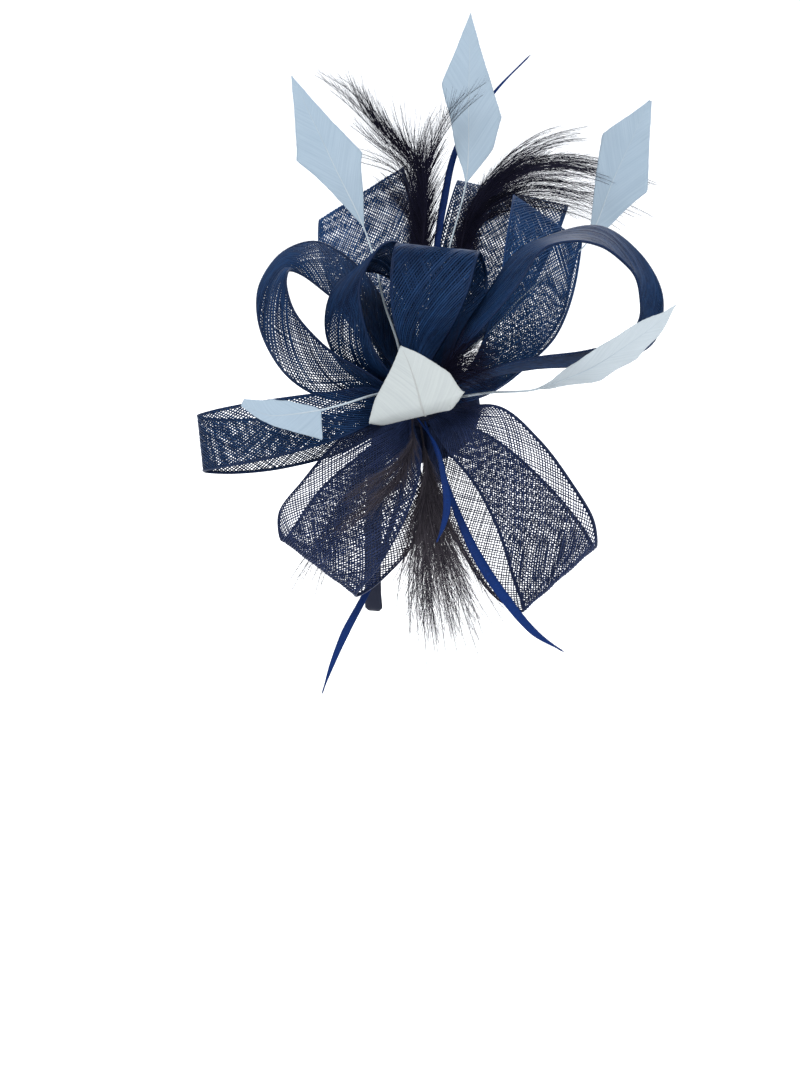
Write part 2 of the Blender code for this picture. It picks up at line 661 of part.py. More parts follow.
def feather_rows(frame, feather, width, start):
    across = frame.direction(*feather["across"])
    rows = [[*start, *across, quill_width / 2, quill_width / 2]]
    for side, up, out, left, right in feather["sections"]:
        place = share(frame, (side, up, out))
        rows.append([*place, *across, left * width, right * width])
    smooth = smooth_rows(rows, feather_cells + 1, straight_from=6)
    smooth[:, 6:8] = np.maximum(smooth[:, 6:8], quill_width / 2)
    smooth[-1, 6:8] = quill_width / 6
    return smooth


def make_feather(collection, frame, name, feather, material):
    width = feather_width if feather["width"] == "feather" else spike_width
    start = knot_place(frame, *feather["root"], standoff=feather_thickness / 2)
    mesh = strip_mesh(name, feather_rows(frame, feather, width, start), 2)
    item = add_object(collection, name, mesh, material)
    add_wall(item, feather_thickness)
    return item


def make_front_feather(collection, frame, material):
    place = frame.point(0.0, -knot_radius / 2, knot_height + seat_gap + feather_thickness / 2)
    rows = feather_rows(frame, front_feather, feather_width, place)
    mesh = strip_mesh(front_feather["name"], rows, 2)
    item = add_object(collection, front_feather["name"], mesh, material)
    add_wall(item, feather_thickness)
    return item


def evaluated_copy(item):
    graph = bpy.context.evaluated_depsgraph_get()
    mesh = bpy.data.meshes.new_from_object(item.evaluated_get(graph))
    mesh.transform(item.matrix_world)
    return mesh


def fuse(collection, name, pieces, material):
    """One body from overlapping pieces, joined one after another."""
    first = pieces[0]
    for other in pieces[1:]:
        join = first.modifiers.new("join", "BOOLEAN")
        join.operation = "UNION"
        join.object = other
    bpy.context.view_layer.update()
    mesh = evaluated_copy(first)
    mesh.name = name
    for piece in pieces:
        bpy.data.objects.remove(piece, do_unlink=True)
    return add_object(collection, name, mesh, material)


def make_lock(collection, frame, start, lock, material):
    across, width_share, places = lock
    direction = frame.direction(*across)
    rows = [[*start, *direction, 1.0, 1.0]]
    rows += [[*share(frame, place), *direction, 1.0, 1.0] for place in places]
    smooth = smooth_rows(rows, lock_cells + 1)
    for index, row in enumerate(smooth):
        part = index / lock_cells
        half = width_share * lock_width / 2 * sin(pi * min(1.0, 0.12 + 0.80 * part ** 0.8)) ** 0.8
        ragged = 0.82 if index % 2 else 1.0
        row[6] = row[7] = max(half * ragged, quill_width / 2)
    smooth[-1, 6:8] = quill_width / 6
    item = add_object(collection, "lock", strip_mesh("lock", smooth, 1), material)
    add_wall(item, feather_thickness)
    return item


def make_root(collection, start, end, material):
    """The bound root: a tapered stem from the knot with a round head where the locks part."""
    curve = bpy.data.curves.new("root", "CURVE")
    curve.dimensions = "3D"
    curve.bevel_depth = root_radius
    curve.bevel_resolution = 1
    curve.use_fill_caps = True
    line = curve.splines.new("POLY")
    steps = 5
    line.points.add(steps - 1)
    for index, point in enumerate(line.points):
        point.co = (*start.lerp(end, index / (steps - 1)), 1.0)
    stem = bpy.data.objects.new("root", curve)
    collection.objects.link(stem)
    bpy.context.view_layer.update()
    mesh = evaluated_copy(stem)
    bpy.data.objects.remove(stem, do_unlink=True)
    builder = bmesh.new()
    builder.from_mesh(mesh)
    bmesh.ops.remove_doubles(builder, verts=builder.verts, dist=0.00001)
    builder.to_mesh(mesh)
    builder.free()
    head = bpy.data.meshes.new("head")
    builder = bmesh.new()
    place = Matrix.Translation(end)
    bmesh.ops.create_icosphere(builder, subdivisions=1, radius=root_radius * 1.8, matrix=place)
    builder.to_mesh(head)
    builder.free()
    return add_object(collection, "root", mesh, material), add_object(
        collection, "head", head, material
    )


def make_spray(collection, frame, name, start, spray, material):
    parting = share(frame, spray["parting"])
    pieces = list(make_root(collection, start, parting, material))
    for index, lock in enumerate(spray["locks"]):
        layer = (index - len(spray["locks"]) / 2) * feather_thickness * 0.4
        start_of_lock = parting + frame.out * layer
        pieces.append(make_lock(collection, frame, start_of_lock, lock, material))
    return fuse(collection, name, pieces, material)


def main():
    clear_scene()
    parts = new_collection("bow_fascinator")
    frame = SprayFrame()
    make_headband(parts, new_material("satin", (0.010, 0.014, 0.035), 0.45))
    make_pad(parts, frame, new_material("felt", (0.012, 0.018, 0.045), 0.95))
    make_knot(parts, frame, new_material("binding", (0.008, 0.010, 0.022), 0.80))
    for name, loop in loops.items():
        make_loop(parts, frame, name, loop, new_material(name, (0.016, 0.045, 0.110), 0.45))
    for name, feather in feathers.items():
        if feather["width"] == "feather":
            material = new_material(name, (0.45, 0.58, 0.70), 0.70)
        else:
            material = new_material(name, (0.006, 0.022, 0.170), 0.35)
        make_feather(parts, frame, name, feather, material)
    make_front_feather(parts, frame, new_material("front_vane", (0.62, 0.64, 0.63), 0.75))
    for name, spray in sprays.items():
        start = knot_place(frame, *spray["root"], standoff=root_radius * 0.2)
        material = new_material(name, (0.014, 0.012, 0.028), 0.60)
        make_spray(parts, frame, name, start, spray, material)
    start = frame.point(0.004, 0.0, knot_height + seat_gap + root_radius)
    material = new_material(tuft["name"], (0.012, 0.010, 0.024), 0.60)
    make_spray(parts, frame, tuft["name"], start, tuft, material)


main()
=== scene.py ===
# Bow fascinator: mesh ribbon loops, cut feathers, spikes and hackles bound on a satin headband.
# Metres, +Z up, +X to the wearer's front, -Y to the wearer's right.

from math import asin, cos, pi, radians, sin

import bmesh
import bpy
import numpy as np
from mathutils import Matrix, Vector


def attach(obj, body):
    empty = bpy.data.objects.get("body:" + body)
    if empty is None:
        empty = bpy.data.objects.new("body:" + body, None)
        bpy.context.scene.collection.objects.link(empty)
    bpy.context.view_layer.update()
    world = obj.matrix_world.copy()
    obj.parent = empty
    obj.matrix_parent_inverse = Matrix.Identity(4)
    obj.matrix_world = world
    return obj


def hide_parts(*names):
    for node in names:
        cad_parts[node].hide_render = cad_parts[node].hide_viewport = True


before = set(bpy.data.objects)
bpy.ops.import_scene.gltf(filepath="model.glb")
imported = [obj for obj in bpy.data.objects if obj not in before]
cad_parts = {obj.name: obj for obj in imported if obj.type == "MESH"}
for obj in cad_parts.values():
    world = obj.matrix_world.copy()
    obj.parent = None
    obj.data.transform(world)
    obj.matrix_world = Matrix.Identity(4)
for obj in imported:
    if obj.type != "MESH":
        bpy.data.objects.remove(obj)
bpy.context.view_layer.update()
print("frame loaded:", len(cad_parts), "nodes")

# Measures shared with the solids
band = {
    "halfSpan": 0.077, "drop": 0.095, "sweep": 99.0, "width": 0.007,
    "endWidth": 0.008, "thickness": 0.002, "flareShare": 0.05,
}
pad = {
    "radius": 0.023, "thickness": 0.003, "crownRadius": 0.120,
    "bandAngle": -46.0, "frontShift": 0.016, "azimuth": 6.0,
}
knot = {"radius": 0.010, "height": 0.0155, "round": 0.003}
seatGap = 0.0003
sprayReach = 0.100  # what the shares in the tables below are shares of
ribbonWidths = {"narrow": 0.0235, "middle": 0.030, "wide": 0.050}
pinchedWidth = 0.0075
featherWidth = 0.030
spikeWidth = 0.0042
curveSamples = 600  # places at which a smooth curve is measured


# The band and the spray's own axes

def bandPoint(angle):
    turn = radians(angle)
    return Vector((0.0, band["halfSpan"] * sin(turn), -band["drop"] * (1.0 - cos(turn))))


def bandNormal(angle):
    turn = radians(angle)
    return Vector((0.0, band["drop"] * sin(turn), band["halfSpan"] * cos(turn))).normalized()


def makeSprayAxes():
    seat = bandPoint(pad["bandAngle"]) + bandNormal(pad["bandAngle"]) * band["thickness"]
    turn = Matrix.Rotation(radians(pad["azimuth"]), 3, "Z")
    out = turn @ bandNormal(pad["bandAngle"])
    side = turn @ Vector((1.0, 0.0, 0.0))
    inner = pad["crownRadius"] - pad["thickness"]
    lean = asin(pad["frontShift"] / inner)
    edgeLift = band["width"] / 2 * abs(sin(lean - radians(pad["azimuth"])))
    reach = inner - seatGap - edgeLift
    contact = out * cos(lean) - side * sin(lean)
    origin = seat - contact * reach + out * pad["crownRadius"]
    return side, out.cross(side), out, origin


sideAxis, upAxis, outAxis, sprayOrigin = makeSprayAxes()


def sprayPoint(side, up, out):
    return sprayOrigin + sideAxis * side + upAxis * up + outAxis * out


def sprayDirection(side, up, out):
    return (sideAxis * side + upAxis * up + outAxis * out).normalized()


def sharePoint(place):
    return sprayPoint(*(value * sprayReach for value in place[:3]))


def knotPlace(clock, level, standoff):
    radius = knot["radius"] + seatGap + standoff
    turn = radians(clock)
    return sprayPoint(radius * sin(turn), radius * cos(turn), level * knot["height"])


def unit(vectors):
    return vectors / np.maximum(np.linalg.norm(vectors, axis=-1, keepdims=True), 1e-9)


def lengthAlong(points):
    # metres along a line at each of its points
    steps = np.linalg.norm(np.diff(points, axis=0), axis=1)
    return np.concatenate([[0.0], np.cumsum(steps)])


def squareTo(tangent, across):
    # across made square to the tangent, and the normal to both
    across = unit(across - tangent * np.sum(across * tangent, axis=1, keepdims=True))
    return across, np.cross(across, tangent)


def smoothRows(rows, count, straightFrom=None):
    # even steps along a smooth curve through rows whose first three columns are a place
    rows = np.asarray(rows, float)
    steps = np.linalg.norm(np.diff(rows[:, :3], axis=0), axis=1) ** 0.5
    stops = np.concatenate([[0.0], np.cumsum(steps)])
    slopes = np.zeros_like(rows)
    spans = np.diff(stops)[:, None]
    gradients = np.diff(rows, axis=0) / spans
    slopes[1:-1] = (gradients[:-1] * spans[1:] + gradients[1:] * spans[:-1]) / (
        spans[:-1] + spans[1:])
    slopes[0] = gradients[0]
    slopes[-1] = gradients[-1]

    def at(values):
        index = np.clip(np.searchsorted(stops, values, side="right") - 1, 0, len(rows) - 2)
        span = (stops[index + 1] - stops[index])[:, None]
        part = (values - stops[index])[:, None] / span
        found = (
            rows[index] * (2 * part**3 - 3 * part**2 + 1)
            + rows[index + 1] * (3 * part**2 - 2 * part**3)
            + slopes[index] * span * (part**3 - 2 * part**2 + part)
            + slopes[index + 1] * span * (part**3 - part**2)
        )
        if straightFrom is not None:
            even = rows[index] * (1 - part) + rows[index + 1] * part
            found[:, straightFrom:] = even[:, straightFrom:]
        return found

    fine = np.linspace(0.0, stops[-1], curveSamples)
    along = lengthAlong(at(fine)[:, :3])
    return at(np.interp(np.linspace(0.0, along[-1], count), along, fine))


# Small makers for node trees, materials and meshes

def addNode(tree, kind, inputs=None, **settings):
    node = tree.nodes.new(kind)
    for name, value in settings.items():
        setattr(node, name, value)
    for name, value in (inputs or {}).items():
        if isinstance(value, bpy.types.NodeSocket):
            tree.links.new(value, node.inputs[name])
        else:
            node.inputs[name].default_value = value
    return node


def addMath(tree, operation, *values, **settings):
    node = addNode(tree, "ShaderNodeMath", dict(enumerate(values)), operation=operation, **settings)
    return node.outputs[0]


def addEffect(tree, group, values):
    return addNode(tree, "ShaderNodeGroup", values, node_tree=group)


def shaderAttribute(tree, name):
    return addNode(tree, "ShaderNodeAttribute", attribute_name=name).outputs["Fac"]


def readAttribute(tree, name, kind="FLOAT"):
    node = addNode(tree, "GeometryNodeInputNamedAttribute", {"Name": name}, data_type=kind)
    return node.outputs["Attribute"]


def newTree(name, kind, inputs, outputs):
    tree = bpy.data.node_groups.new(name, kind)
    for way, sockets in (("INPUT", inputs), ("OUTPUT", outputs)):
        for label, socket in sockets:
            tree.interface.new_socket(label, in_out=way, socket_type="NodeSocket" + socket)
    return tree, tree.nodes.new("NodeGroupInput"), tree.nodes.new("NodeGroupOutput")


def newNodeTree(name, values):
    geometry = [("Geometry", "Geometry")]
    return newTree(name, "GeometryNodeTree", geometry + values, geometry)


def runTree(obj, tree, values):
    # sets the tree's named inputs, takes the result as a plain mesh and drops the modifier
    modifier = obj.modifiers.new(tree.name, "NODES")
    modifier.node_group = tree
    for item in tree.interface.items_tree:
        if item.item_type == "SOCKET" and item.in_out == "INPUT" and item.name in values:
            modifier[item.identifier] = values[item.name]
    graph = bpy.context.evaluated_depsgraph_get()
    graph.update()
    result = bpy.data.meshes.new_from_object(obj.evaluated_get(graph))
    obj.modifiers.remove(modifier)
    result.name = obj.name
    obj.data = result
    return obj


def newMaterial(name):
    material = bpy.data.materials.new(name)
    material.use_nodes = True
    tree = material.node_tree
    return material, tree, tree.nodes["Principled BSDF"]


def meshObject(name, points, faces, edges=()):
    mesh = bpy.data.meshes.new(name)
    mesh.from_pydata([tuple(p) for p in points], [tuple(e) for e in edges],
                     [tuple(f) for f in faces])
    mesh.update()
    obj = bpy.data.objects.new(name, mesh)
    bpy.context.scene.collection.objects.link(obj)
    return obj


def giveAttribute(obj, name, kind, values):
    attribute = obj.data.attributes.new(name, kind, "POINT")
    field = "vector" if kind == "FLOAT_VECTOR" else "value"
    attribute.data.foreach_set(field, np.asarray(values, np.float32).ravel())


def keep(obj, node):
    # the piece rides on the one body and stands for its solid
    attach(obj, "root")
    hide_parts(node)


def turnFacesOut(obj):
    builder = bmesh.new()
    builder.from_mesh(obj.data)
    bmesh.ops.recalc_face_normals(builder, faces=builder.faces)
    builder.to_mesh(obj.data)
    builder.free()


# Each ribbon loop: its ribbon, where its two ends meet the knot (clock in degrees from the top,
# level as a share of the knot's height, flat or on its edge), and its sections: side, up, out,
# the direction across, and the spread as a share of the ribbon's width.
ribbonLoops = {
    "crin_loop_centre": {
        "ribbon": "middle", "leave": (-4, 0.92, "flat"), "back": (8, 0.56, "flat"),
        "sections": [
            (0.01, 0.22, 0.28, 1.0, -0.05, 0.0, 0.75),
            (0.03, 0.33, 0.36, 1.0, -0.10, 0.0, 0.95),
            (0.045, 0.44, 0.37, 1.0, -0.10, 0.0, 1.00),
            (0.06, 0.50, 0.29, 1.0, -0.10, 0.0, 1.00),
            (0.085, 0.47, 0.20, 1.0, -0.15, 0.0, 1.00),
            (0.10, 0.36, 0.15, 1.0, -0.15, 0.0, 0.85),
            (0.06, 0.22, 0.11, 1.0, -0.10, 0.0, 0.50),
        ],
    },
    "crin_loop_left_inner": {
        "ribbon": "narrow", "leave": (-64, 0.60, "edge"), "back": (-28, 0.54, "edge"),
        "sections": [
            (-0.23, 0.11, 0.16, 0.50, 0.25, 0.75, 0.75),
            (-0.29, 0.20, 0.23, 0.62, 0.10, 0.75, 1.00),
            (-0.305, 0.32, 0.25, 0.64, 0.00, 0.75, 1.00),
            (-0.275, 0.42, 0.25, 0.62, -0.10, 0.78, 1.00),
            (-0.215, 0.49, 0.24, 0.45, -0.10, 0.85, 1.00),
            (-0.14, 0.515, 0.20, 0.25, 0.00, 0.92, 1.00),
            (-0.095, 0.47, 0.155, 0.10, 0.00, 1.00, 0.95),
            (-0.07, 0.36, 0.125, 0.00, 0.00, 1.00, 0.65),
            (-0.06, 0.22, 0.10, 0.00, 0.00, 1.00, 0.40),
        ],
    },
    "crin_loop_left_outer": {
        "ribbon": "narrow", "leave": (-84, 0.58, "edge"), "back": (-46, 0.54, "edge"),
        "sections": [
            (-0.22, 0.02, 0.12, 0.20, 0.40, 0.85, 0.60),
            (-0.35, 0.045, 0.145, 0.30, 0.50, 0.75, 0.85),
            (-0.46, 0.11, 0.17, 0.50, 0.35, 0.72, 1.00),
            (-0.55, 0.22, 0.19, 0.62, 0.15, 0.72, 1.00),
            (-0.595, 0.34, 0.19, 0.66, 0.00, 0.72, 1.00),
            (-0.60, 0.44, 0.18, 0.62, -0.25, 0.68, 1.00),
            (-0.565, 0.53, 0.155, 0.35, -0.70, 0.60, 1.00),
            (-0.49, 0.575, 0.11, 0.00, -0.90, 0.40, 1.00),
            (-0.39, 0.54, 0.065, -0.10, -0.95, 0.25, 1.00),
            (-0.28, 0.45, 0.055, -0.30, -0.90, 0.30, 0.85),
            (-0.19, 0.32, 0.065, -0.45, -0.75, 0.35, 0.55),
            (-0.13, 0.18, 0.068, -0.40, -0.50, 0.70, 0.36),
        ],
    },
    "crin_loop_left_flat": {
        "ribbon": "narrow", "leave": (-112, 0.84, "flat"), "back": (-114, 0.36, "flat"),
        "sections": [
            (-0.18, -0.09, 0.20, -0.25, 0.95, 0.0, 0.60),
            (-0.28, -0.145, 0.245, -0.25, 0.97, 0.0, 0.75),
            (-0.42, -0.19, 0.26, -0.22, 0.97, 0.0, 0.88),
            (-0.58, -0.225, 0.25, -0.22, 0.97, 0.0, 0.96),
            (-0.74, -0.245, 0.21, -0.22, 0.97, 0.0, 0.96),
            (-0.83, -0.235, 0.12, -0.22, 0.97, 0.0, 0.96),
            (-0.74, -0.21, 0.035, -0.20, 0.97, 0.0, 0.96),
            (-0.55, -0.18, 0.01, -0.20, 0.97, 0.0, 0.90),
            (-0.30, -0.13, 0.02, -0.25, 0.97, 0.0, 0.65),
        ],
    },
    "crin_loop_right_curl": {
        "ribbon": "narrow", "leave": (50, 0.72, "edge"), "back": (88, 0.62, "edge"),
        "sections": [
            (0.17, 0.18, 0.23, 0.38, -0.32, 0.86, 0.70),
            (0.28, 0.31, 0.31, 0.42, -0.34, 0.84, 1.00),
            (0.38, 0.45, 0.36, 0.36, -0.44, 0.82, 1.00),
            (0.49, 0.505, 0.36, 0.30, -0.58, 0.76, 1.00),
            (0.64, 0.537, 0.33, -0.08, -0.76, 0.63, 1.00),
            (0.75, 0.475, 0.30, -0.40, -0.58, 0.71, 1.00),
            (0.82, 0.385, 0.27, -0.55, -0.25, 0.80, 1.00),
            (0.835, 0.30, 0.24, -0.50, -0.05, 0.86, 1.00),
            (0.82, 0.22, 0.21, -0.35, -0.05, 0.93, 1.00),
            (0.74, 0.16, 0.19, -0.10, -0.15, 0.98, 1.00),
            (0.60, 0.13, 0.17, 0.00, -0.22, 0.96, 1.00),
            (0.42, 0.11, 0.16, 0.00, -0.25, 0.95, 0.90),
            (0.23, 0.065, 0.135, 0.00, -0.20, 0.97, 0.60),
        ],
    },
    "crin_loop_lower_left": {
        "ribbon": "wide", "leave": (-150, 0.66, "flat"), "back": (-152, 0.22, "flat"),
        "sections": [
            (-0.12, -0.24, 0.18, 0.93, -0.30, 0.15, 0.62),
            (-0.21, -0.44, 0.20, 0.88, -0.30, 0.30, 0.92),
            (-0.305, -0.60, 0.16, 0.82, -0.45, 0.35, 1.00),
            (-0.345, -0.685, 0.08, 0.75, -0.52, 0.40, 0.88),
            (-0.30, -0.62, 0.00, 0.80, -0.45, 0.40, 0.98),
            (-0.17, -0.42, 0.00, 0.90, -0.30, 0.20, 0.92),
            (-0.09, -0.22, 0.037, 0.95, -0.30, 0.00, 0.40),
        ],
    },
    "crin_loop_lower_right": {
        "ribbon": "wide", "leave": (142, 0.66, "flat"), "back": (146, 0.22, "flat"),
        "sections": [
            (0.20, -0.16, 0.18, 0.70, 0.55, 0.35, 0.48),
            (0.33, -0.30, 0.215, 0.72, 0.38, 0.58, 0.60),
            (0.43, -0.46, 0.215, 0.66, 0.34, 0.67, 0.70),
            (0.50, -0.60, 0.17, 0.64, 0.42, 0.64, 0.78),
            (0.535, -0.695, 0.10, 0.64, 0.58, 0.50, 0.72),
            (0.46, -0.61, 0.01, 0.70, 0.54, 0.42, 0.86),
            (0.30, -0.39, -0.01, 0.80, 0.42, 0.34, 0.80),
            (0.15, -0.19, 0.02, 0.80, 0.50, 0.10, 0.50),
        ],
    },
    "crin_loop_upper_right": {
        "ribbon": "wide", "leave": (72, 0.30, "flat"), "back": (72, 0.15, "flat"),
        "sections": [
            (0.22, 0.09, 0.035, 0.80, -0.55, 0.0, 0.26),
            (0.32, 0.20, 0.065, 0.97, -0.15, -0.15, 0.40),
            (0.41, 0.40, 0.09, 0.80, -0.10, -0.50, 0.60),
            (0.445, 0.62, 0.10, 0.64, -0.08, -0.65, 0.78),
            (0.475, 0.81, 0.04, 0.67, -0.05, -0.60, 0.80),
            (0.47, 0.70, -0.05, 0.65, -0.10, -0.60, 0.80),
            (0.41, 0.42, -0.045, 0.80, -0.15, -0.45, 0.60),
            (0.32, 0.21, -0.005, 0.97, -0.15, -0.10, 0.40),
            (0.21, 0.09, 0.005, 0.80, -0.55, 0.0, 0.26),
        ],
    },
    "crin_loop_upper_left": {
        "ribbon": "wide", "leave": (-34, 0.21, "flat"), "back": (-34, 0.09, "flat"),
        "sections": [
            (-0.14, 0.27, 0.005, 0.90, 0.40, 0.0, 0.38),
            (-0.22, 0.56, -0.06, 0.90, 0.38, 0.15, 0.75),
            (-0.30, 0.84, -0.05, 0.86, 0.42, 0.25, 0.90),
            (-0.335, 1.02, -0.09, 0.85, 0.38, 0.30, 0.86),
            (-0.31, 0.91, -0.17, 0.84, 0.45, 0.25, 0.90),
            (-0.22, 0.61, -0.15, 0.90, 0.38, 0.15, 0.75),
            (-0.13, 0.30, -0.018, 0.90, 0.40, 0.0, 0.36),
        ],
    },
    "crin_loop_upper_middle": {
        "ribbon": "wide", "leave": (12, 0.21, "flat"), "back": (12, 0.09, "flat"),
        "sections": [
            (0.11, 0.29, 0.005, 0.97, -0.20, 0.0, 0.36),
            (0.20, 0.60, -0.12, 0.97, -0.22, 0.0, 0.80),
            (0.29, 0.92, -0.12, 0.97, -0.25, 0.0, 0.97),
            (0.33, 1.08, -0.16, 0.97, -0.25, 0.0, 1.00),
            (0.30, 0.98, -0.24, 0.97, -0.25, 0.0, 0.97),
            (0.20, 0.64, -0.23, 0.97, -0.22, 0.0, 0.80),
            (0.11, 0.31, -0.018, 0.97, -0.20, 0.0, 0.36),
        ],
    },
}

# Sections of feathers and spikes: side, up, out, then the vane to the left and right of the quill.
feathers = {
    "cut_feather_upper_left": {
        "root": (-37, 0.52), "across": (1.0, 0.0, 0.15), "width": "feather",
        "sections": [
            (-0.105, 0.22, 0.115, 0.0, 0.0),
            (-0.165, 0.38, 0.105, 0.0, 0.0),
            (-0.22, 0.58, 0.055, 0.0, 0.0),
            (-0.28, 0.745, 0.07, 0.0, 0.0),
            (-0.41, 0.985, 0.125, 0.28, 0.42),
            (-0.465, 1.09, 0.145, 0.45, 0.30),
            (-0.615, 1.37, 0.20, 0.0, 0.0),
        ],
    },
    "cut_feather_upper_middle": {
        "root": (17, 0.35), "across": (1.0, 0.0, 0.0), "width": "feather",
        "sections": [
            (0.04, 0.30, 0.05, 0.0, 0.0),
            (0.065, 0.60, 0.045, 0.0, 0.0),
            (0.13, 0.95, 0.07, 0.0, 0.0),
            (0.135, 1.10, 0.095, 0.18, 0.34),
            (0.13, 1.22, 0.13, 0.25, 0.45),
            (0.125, 1.36, 0.17, 0.38, 0.30),
            (0.12, 1.62, 0.25, 0.0, 0.0),
        ],
    },
    "cut_feather_upper_right": {
        "root": (36, 0.62), "across": (0.92, -0.35, 0.10), "width": "feather",
        "sections": [
            (0.24, 0.27, 0.072, 0.0, 0.0),
            (0.39, 0.47, 0.04, 0.0, 0.0),
            (0.54, 0.67, -0.065, 0.0, 0.0),
            (0.65, 0.80, -0.10, 0.0, 0.0),
            (0.74, 1.03, -0.01, 0.26, 0.50),
            (0.80, 1.17, 0.04, 0.42, 0.28),
            (0.865, 1.315, 0.11, 0.0, 0.03),
        ],
    },
    "cut_feather_right": {
        "root": (100, 0.70), "across": (-0.18, 0.28, 0.94), "width": "feather",
        "sections": [
            (0.25, 0.005, 0.12, 0.0, 0.0),
            (0.42, 0.00, 0.17, 0.0, 0.0),
            (0.50, 0.01, 0.22, 0.08, 0.08),
            (0.62, 0.04, 0.29, 0.26, 0.26),
            (0.74, 0.11, 0.34, 0.30, 0.28),
            (0.82, 0.17, 0.36, 0.22, 0.18),
            (0.89, 0.24, 0.37, 0.0, 0.0),
        ],
    },
    "cut_feather_left": {
        "root": (-96, 0.93), "across": (0.10, 0.95, 0.25), "width": "feather",
        "sections": [
            (-0.17, -0.07, 0.24, 0.0, 0.0),
            (-0.26, -0.137, 0.31, 0.0, 0.0),
            (-0.33, -0.172, 0.34, 0.02, 0.0),
            (-0.34, -0.175, 0.342, 0.36, 0.03),
            (-0.43, -0.200, 0.36, 0.20, 0.16),
            (-0.51, -0.205, 0.36, 0.09, 0.20),
            (-0.61, -0.165, 0.36, 0.03, 0.06),
        ],
    },
    "blue_spike_lower_left": {
        "root": (-168, 0.10), "across": (0.95, -0.30, 0.0), "width": "spike",
        "sections": [
            (-0.04, -0.24, 0.00, 0.25, 0.25),
            (-0.08, -0.41, -0.07, 0.30, 0.30),
            (-0.17, -0.71, -0.12, 0.40, 0.40),
            (-0.255, -0.90, -0.14, 0.50, 0.50),
            (-0.30, -1.03, -0.15, 0.30, 0.30),
            (-0.33, -1.14, -0.16, 0.0, 0.0),
        ],
    },
    "blue_spike_lower_right": {
        "root": (168, 0.62), "across": (0.85, 0.50, 0.0), "width": "spike",
        "sections": [
            (0.12, -0.36, 0.14, 0.20, 0.20),
            (0.165, -0.48, 0.16, 0.40, 0.40),
            (0.245, -0.64, 0.17, 0.55, 0.55),
            (0.35, -0.785, 0.16, 0.55, 0.55),
            (0.45, -0.89, 0.14, 0.40, 0.40),
            (0.56, -0.95, 0.10, 0.0, 0.0),
        ],
    },
    "blue_spike_lower_small": {
        "root": (-179, 0.80), "across": (1.0, 0.10, 0.0), "width": "spike",
        "sections": [
            (0.08, -0.25, 0.21, 0.20, 0.20),
            (0.11, -0.36, 0.23, 0.35, 0.35),
            (0.13, -0.465, 0.24, 0.45, 0.45),
            (0.12, -0.55, 0.24, 0.28, 0.28),
            (0.10, -0.61, 0.24, 0.0, 0.0),
        ],
    },
    "blue_spike_upper": {
        "root": (6, 0.35), "across": (0.95, -0.30, 0.0), "width": "spike",
        "sections": [
            (0.015, 0.30, 0.045, 0.20, 0.20),
            (0.02, 0.62, 0.02, 0.40, 0.40),
            (0.04, 0.90, 0.02, 0.50, 0.50),
            (0.09, 1.16, 0.05, 0.40, 0.40),
            (0.23, 1.37, 0.10, 0.20, 0.20),
            (0.375, 1.51, 0.15, 0.0, 0.0),
        ],
    },
}

frontFeather = {
    "name": "cut_feather_front", "across": (0.96, 0.28, 0.0),
    "sections": [
        (0.02, -0.05, 0.175, 0.0, 0.0),
        (0.03, -0.10, 0.215, 0.06, 0.06),
        (0.035, -0.145, 0.25, 0.45, 0.35),
        (0.025, -0.135, 0.30, 0.66, 0.54),
        (0.00, -0.06, 0.335, 0.48, 0.42),
        (-0.03, 0.015, 0.35, 0.22, 0.20),
        (-0.06, 0.075, 0.35, 0.0, 0.0),
    ],
}

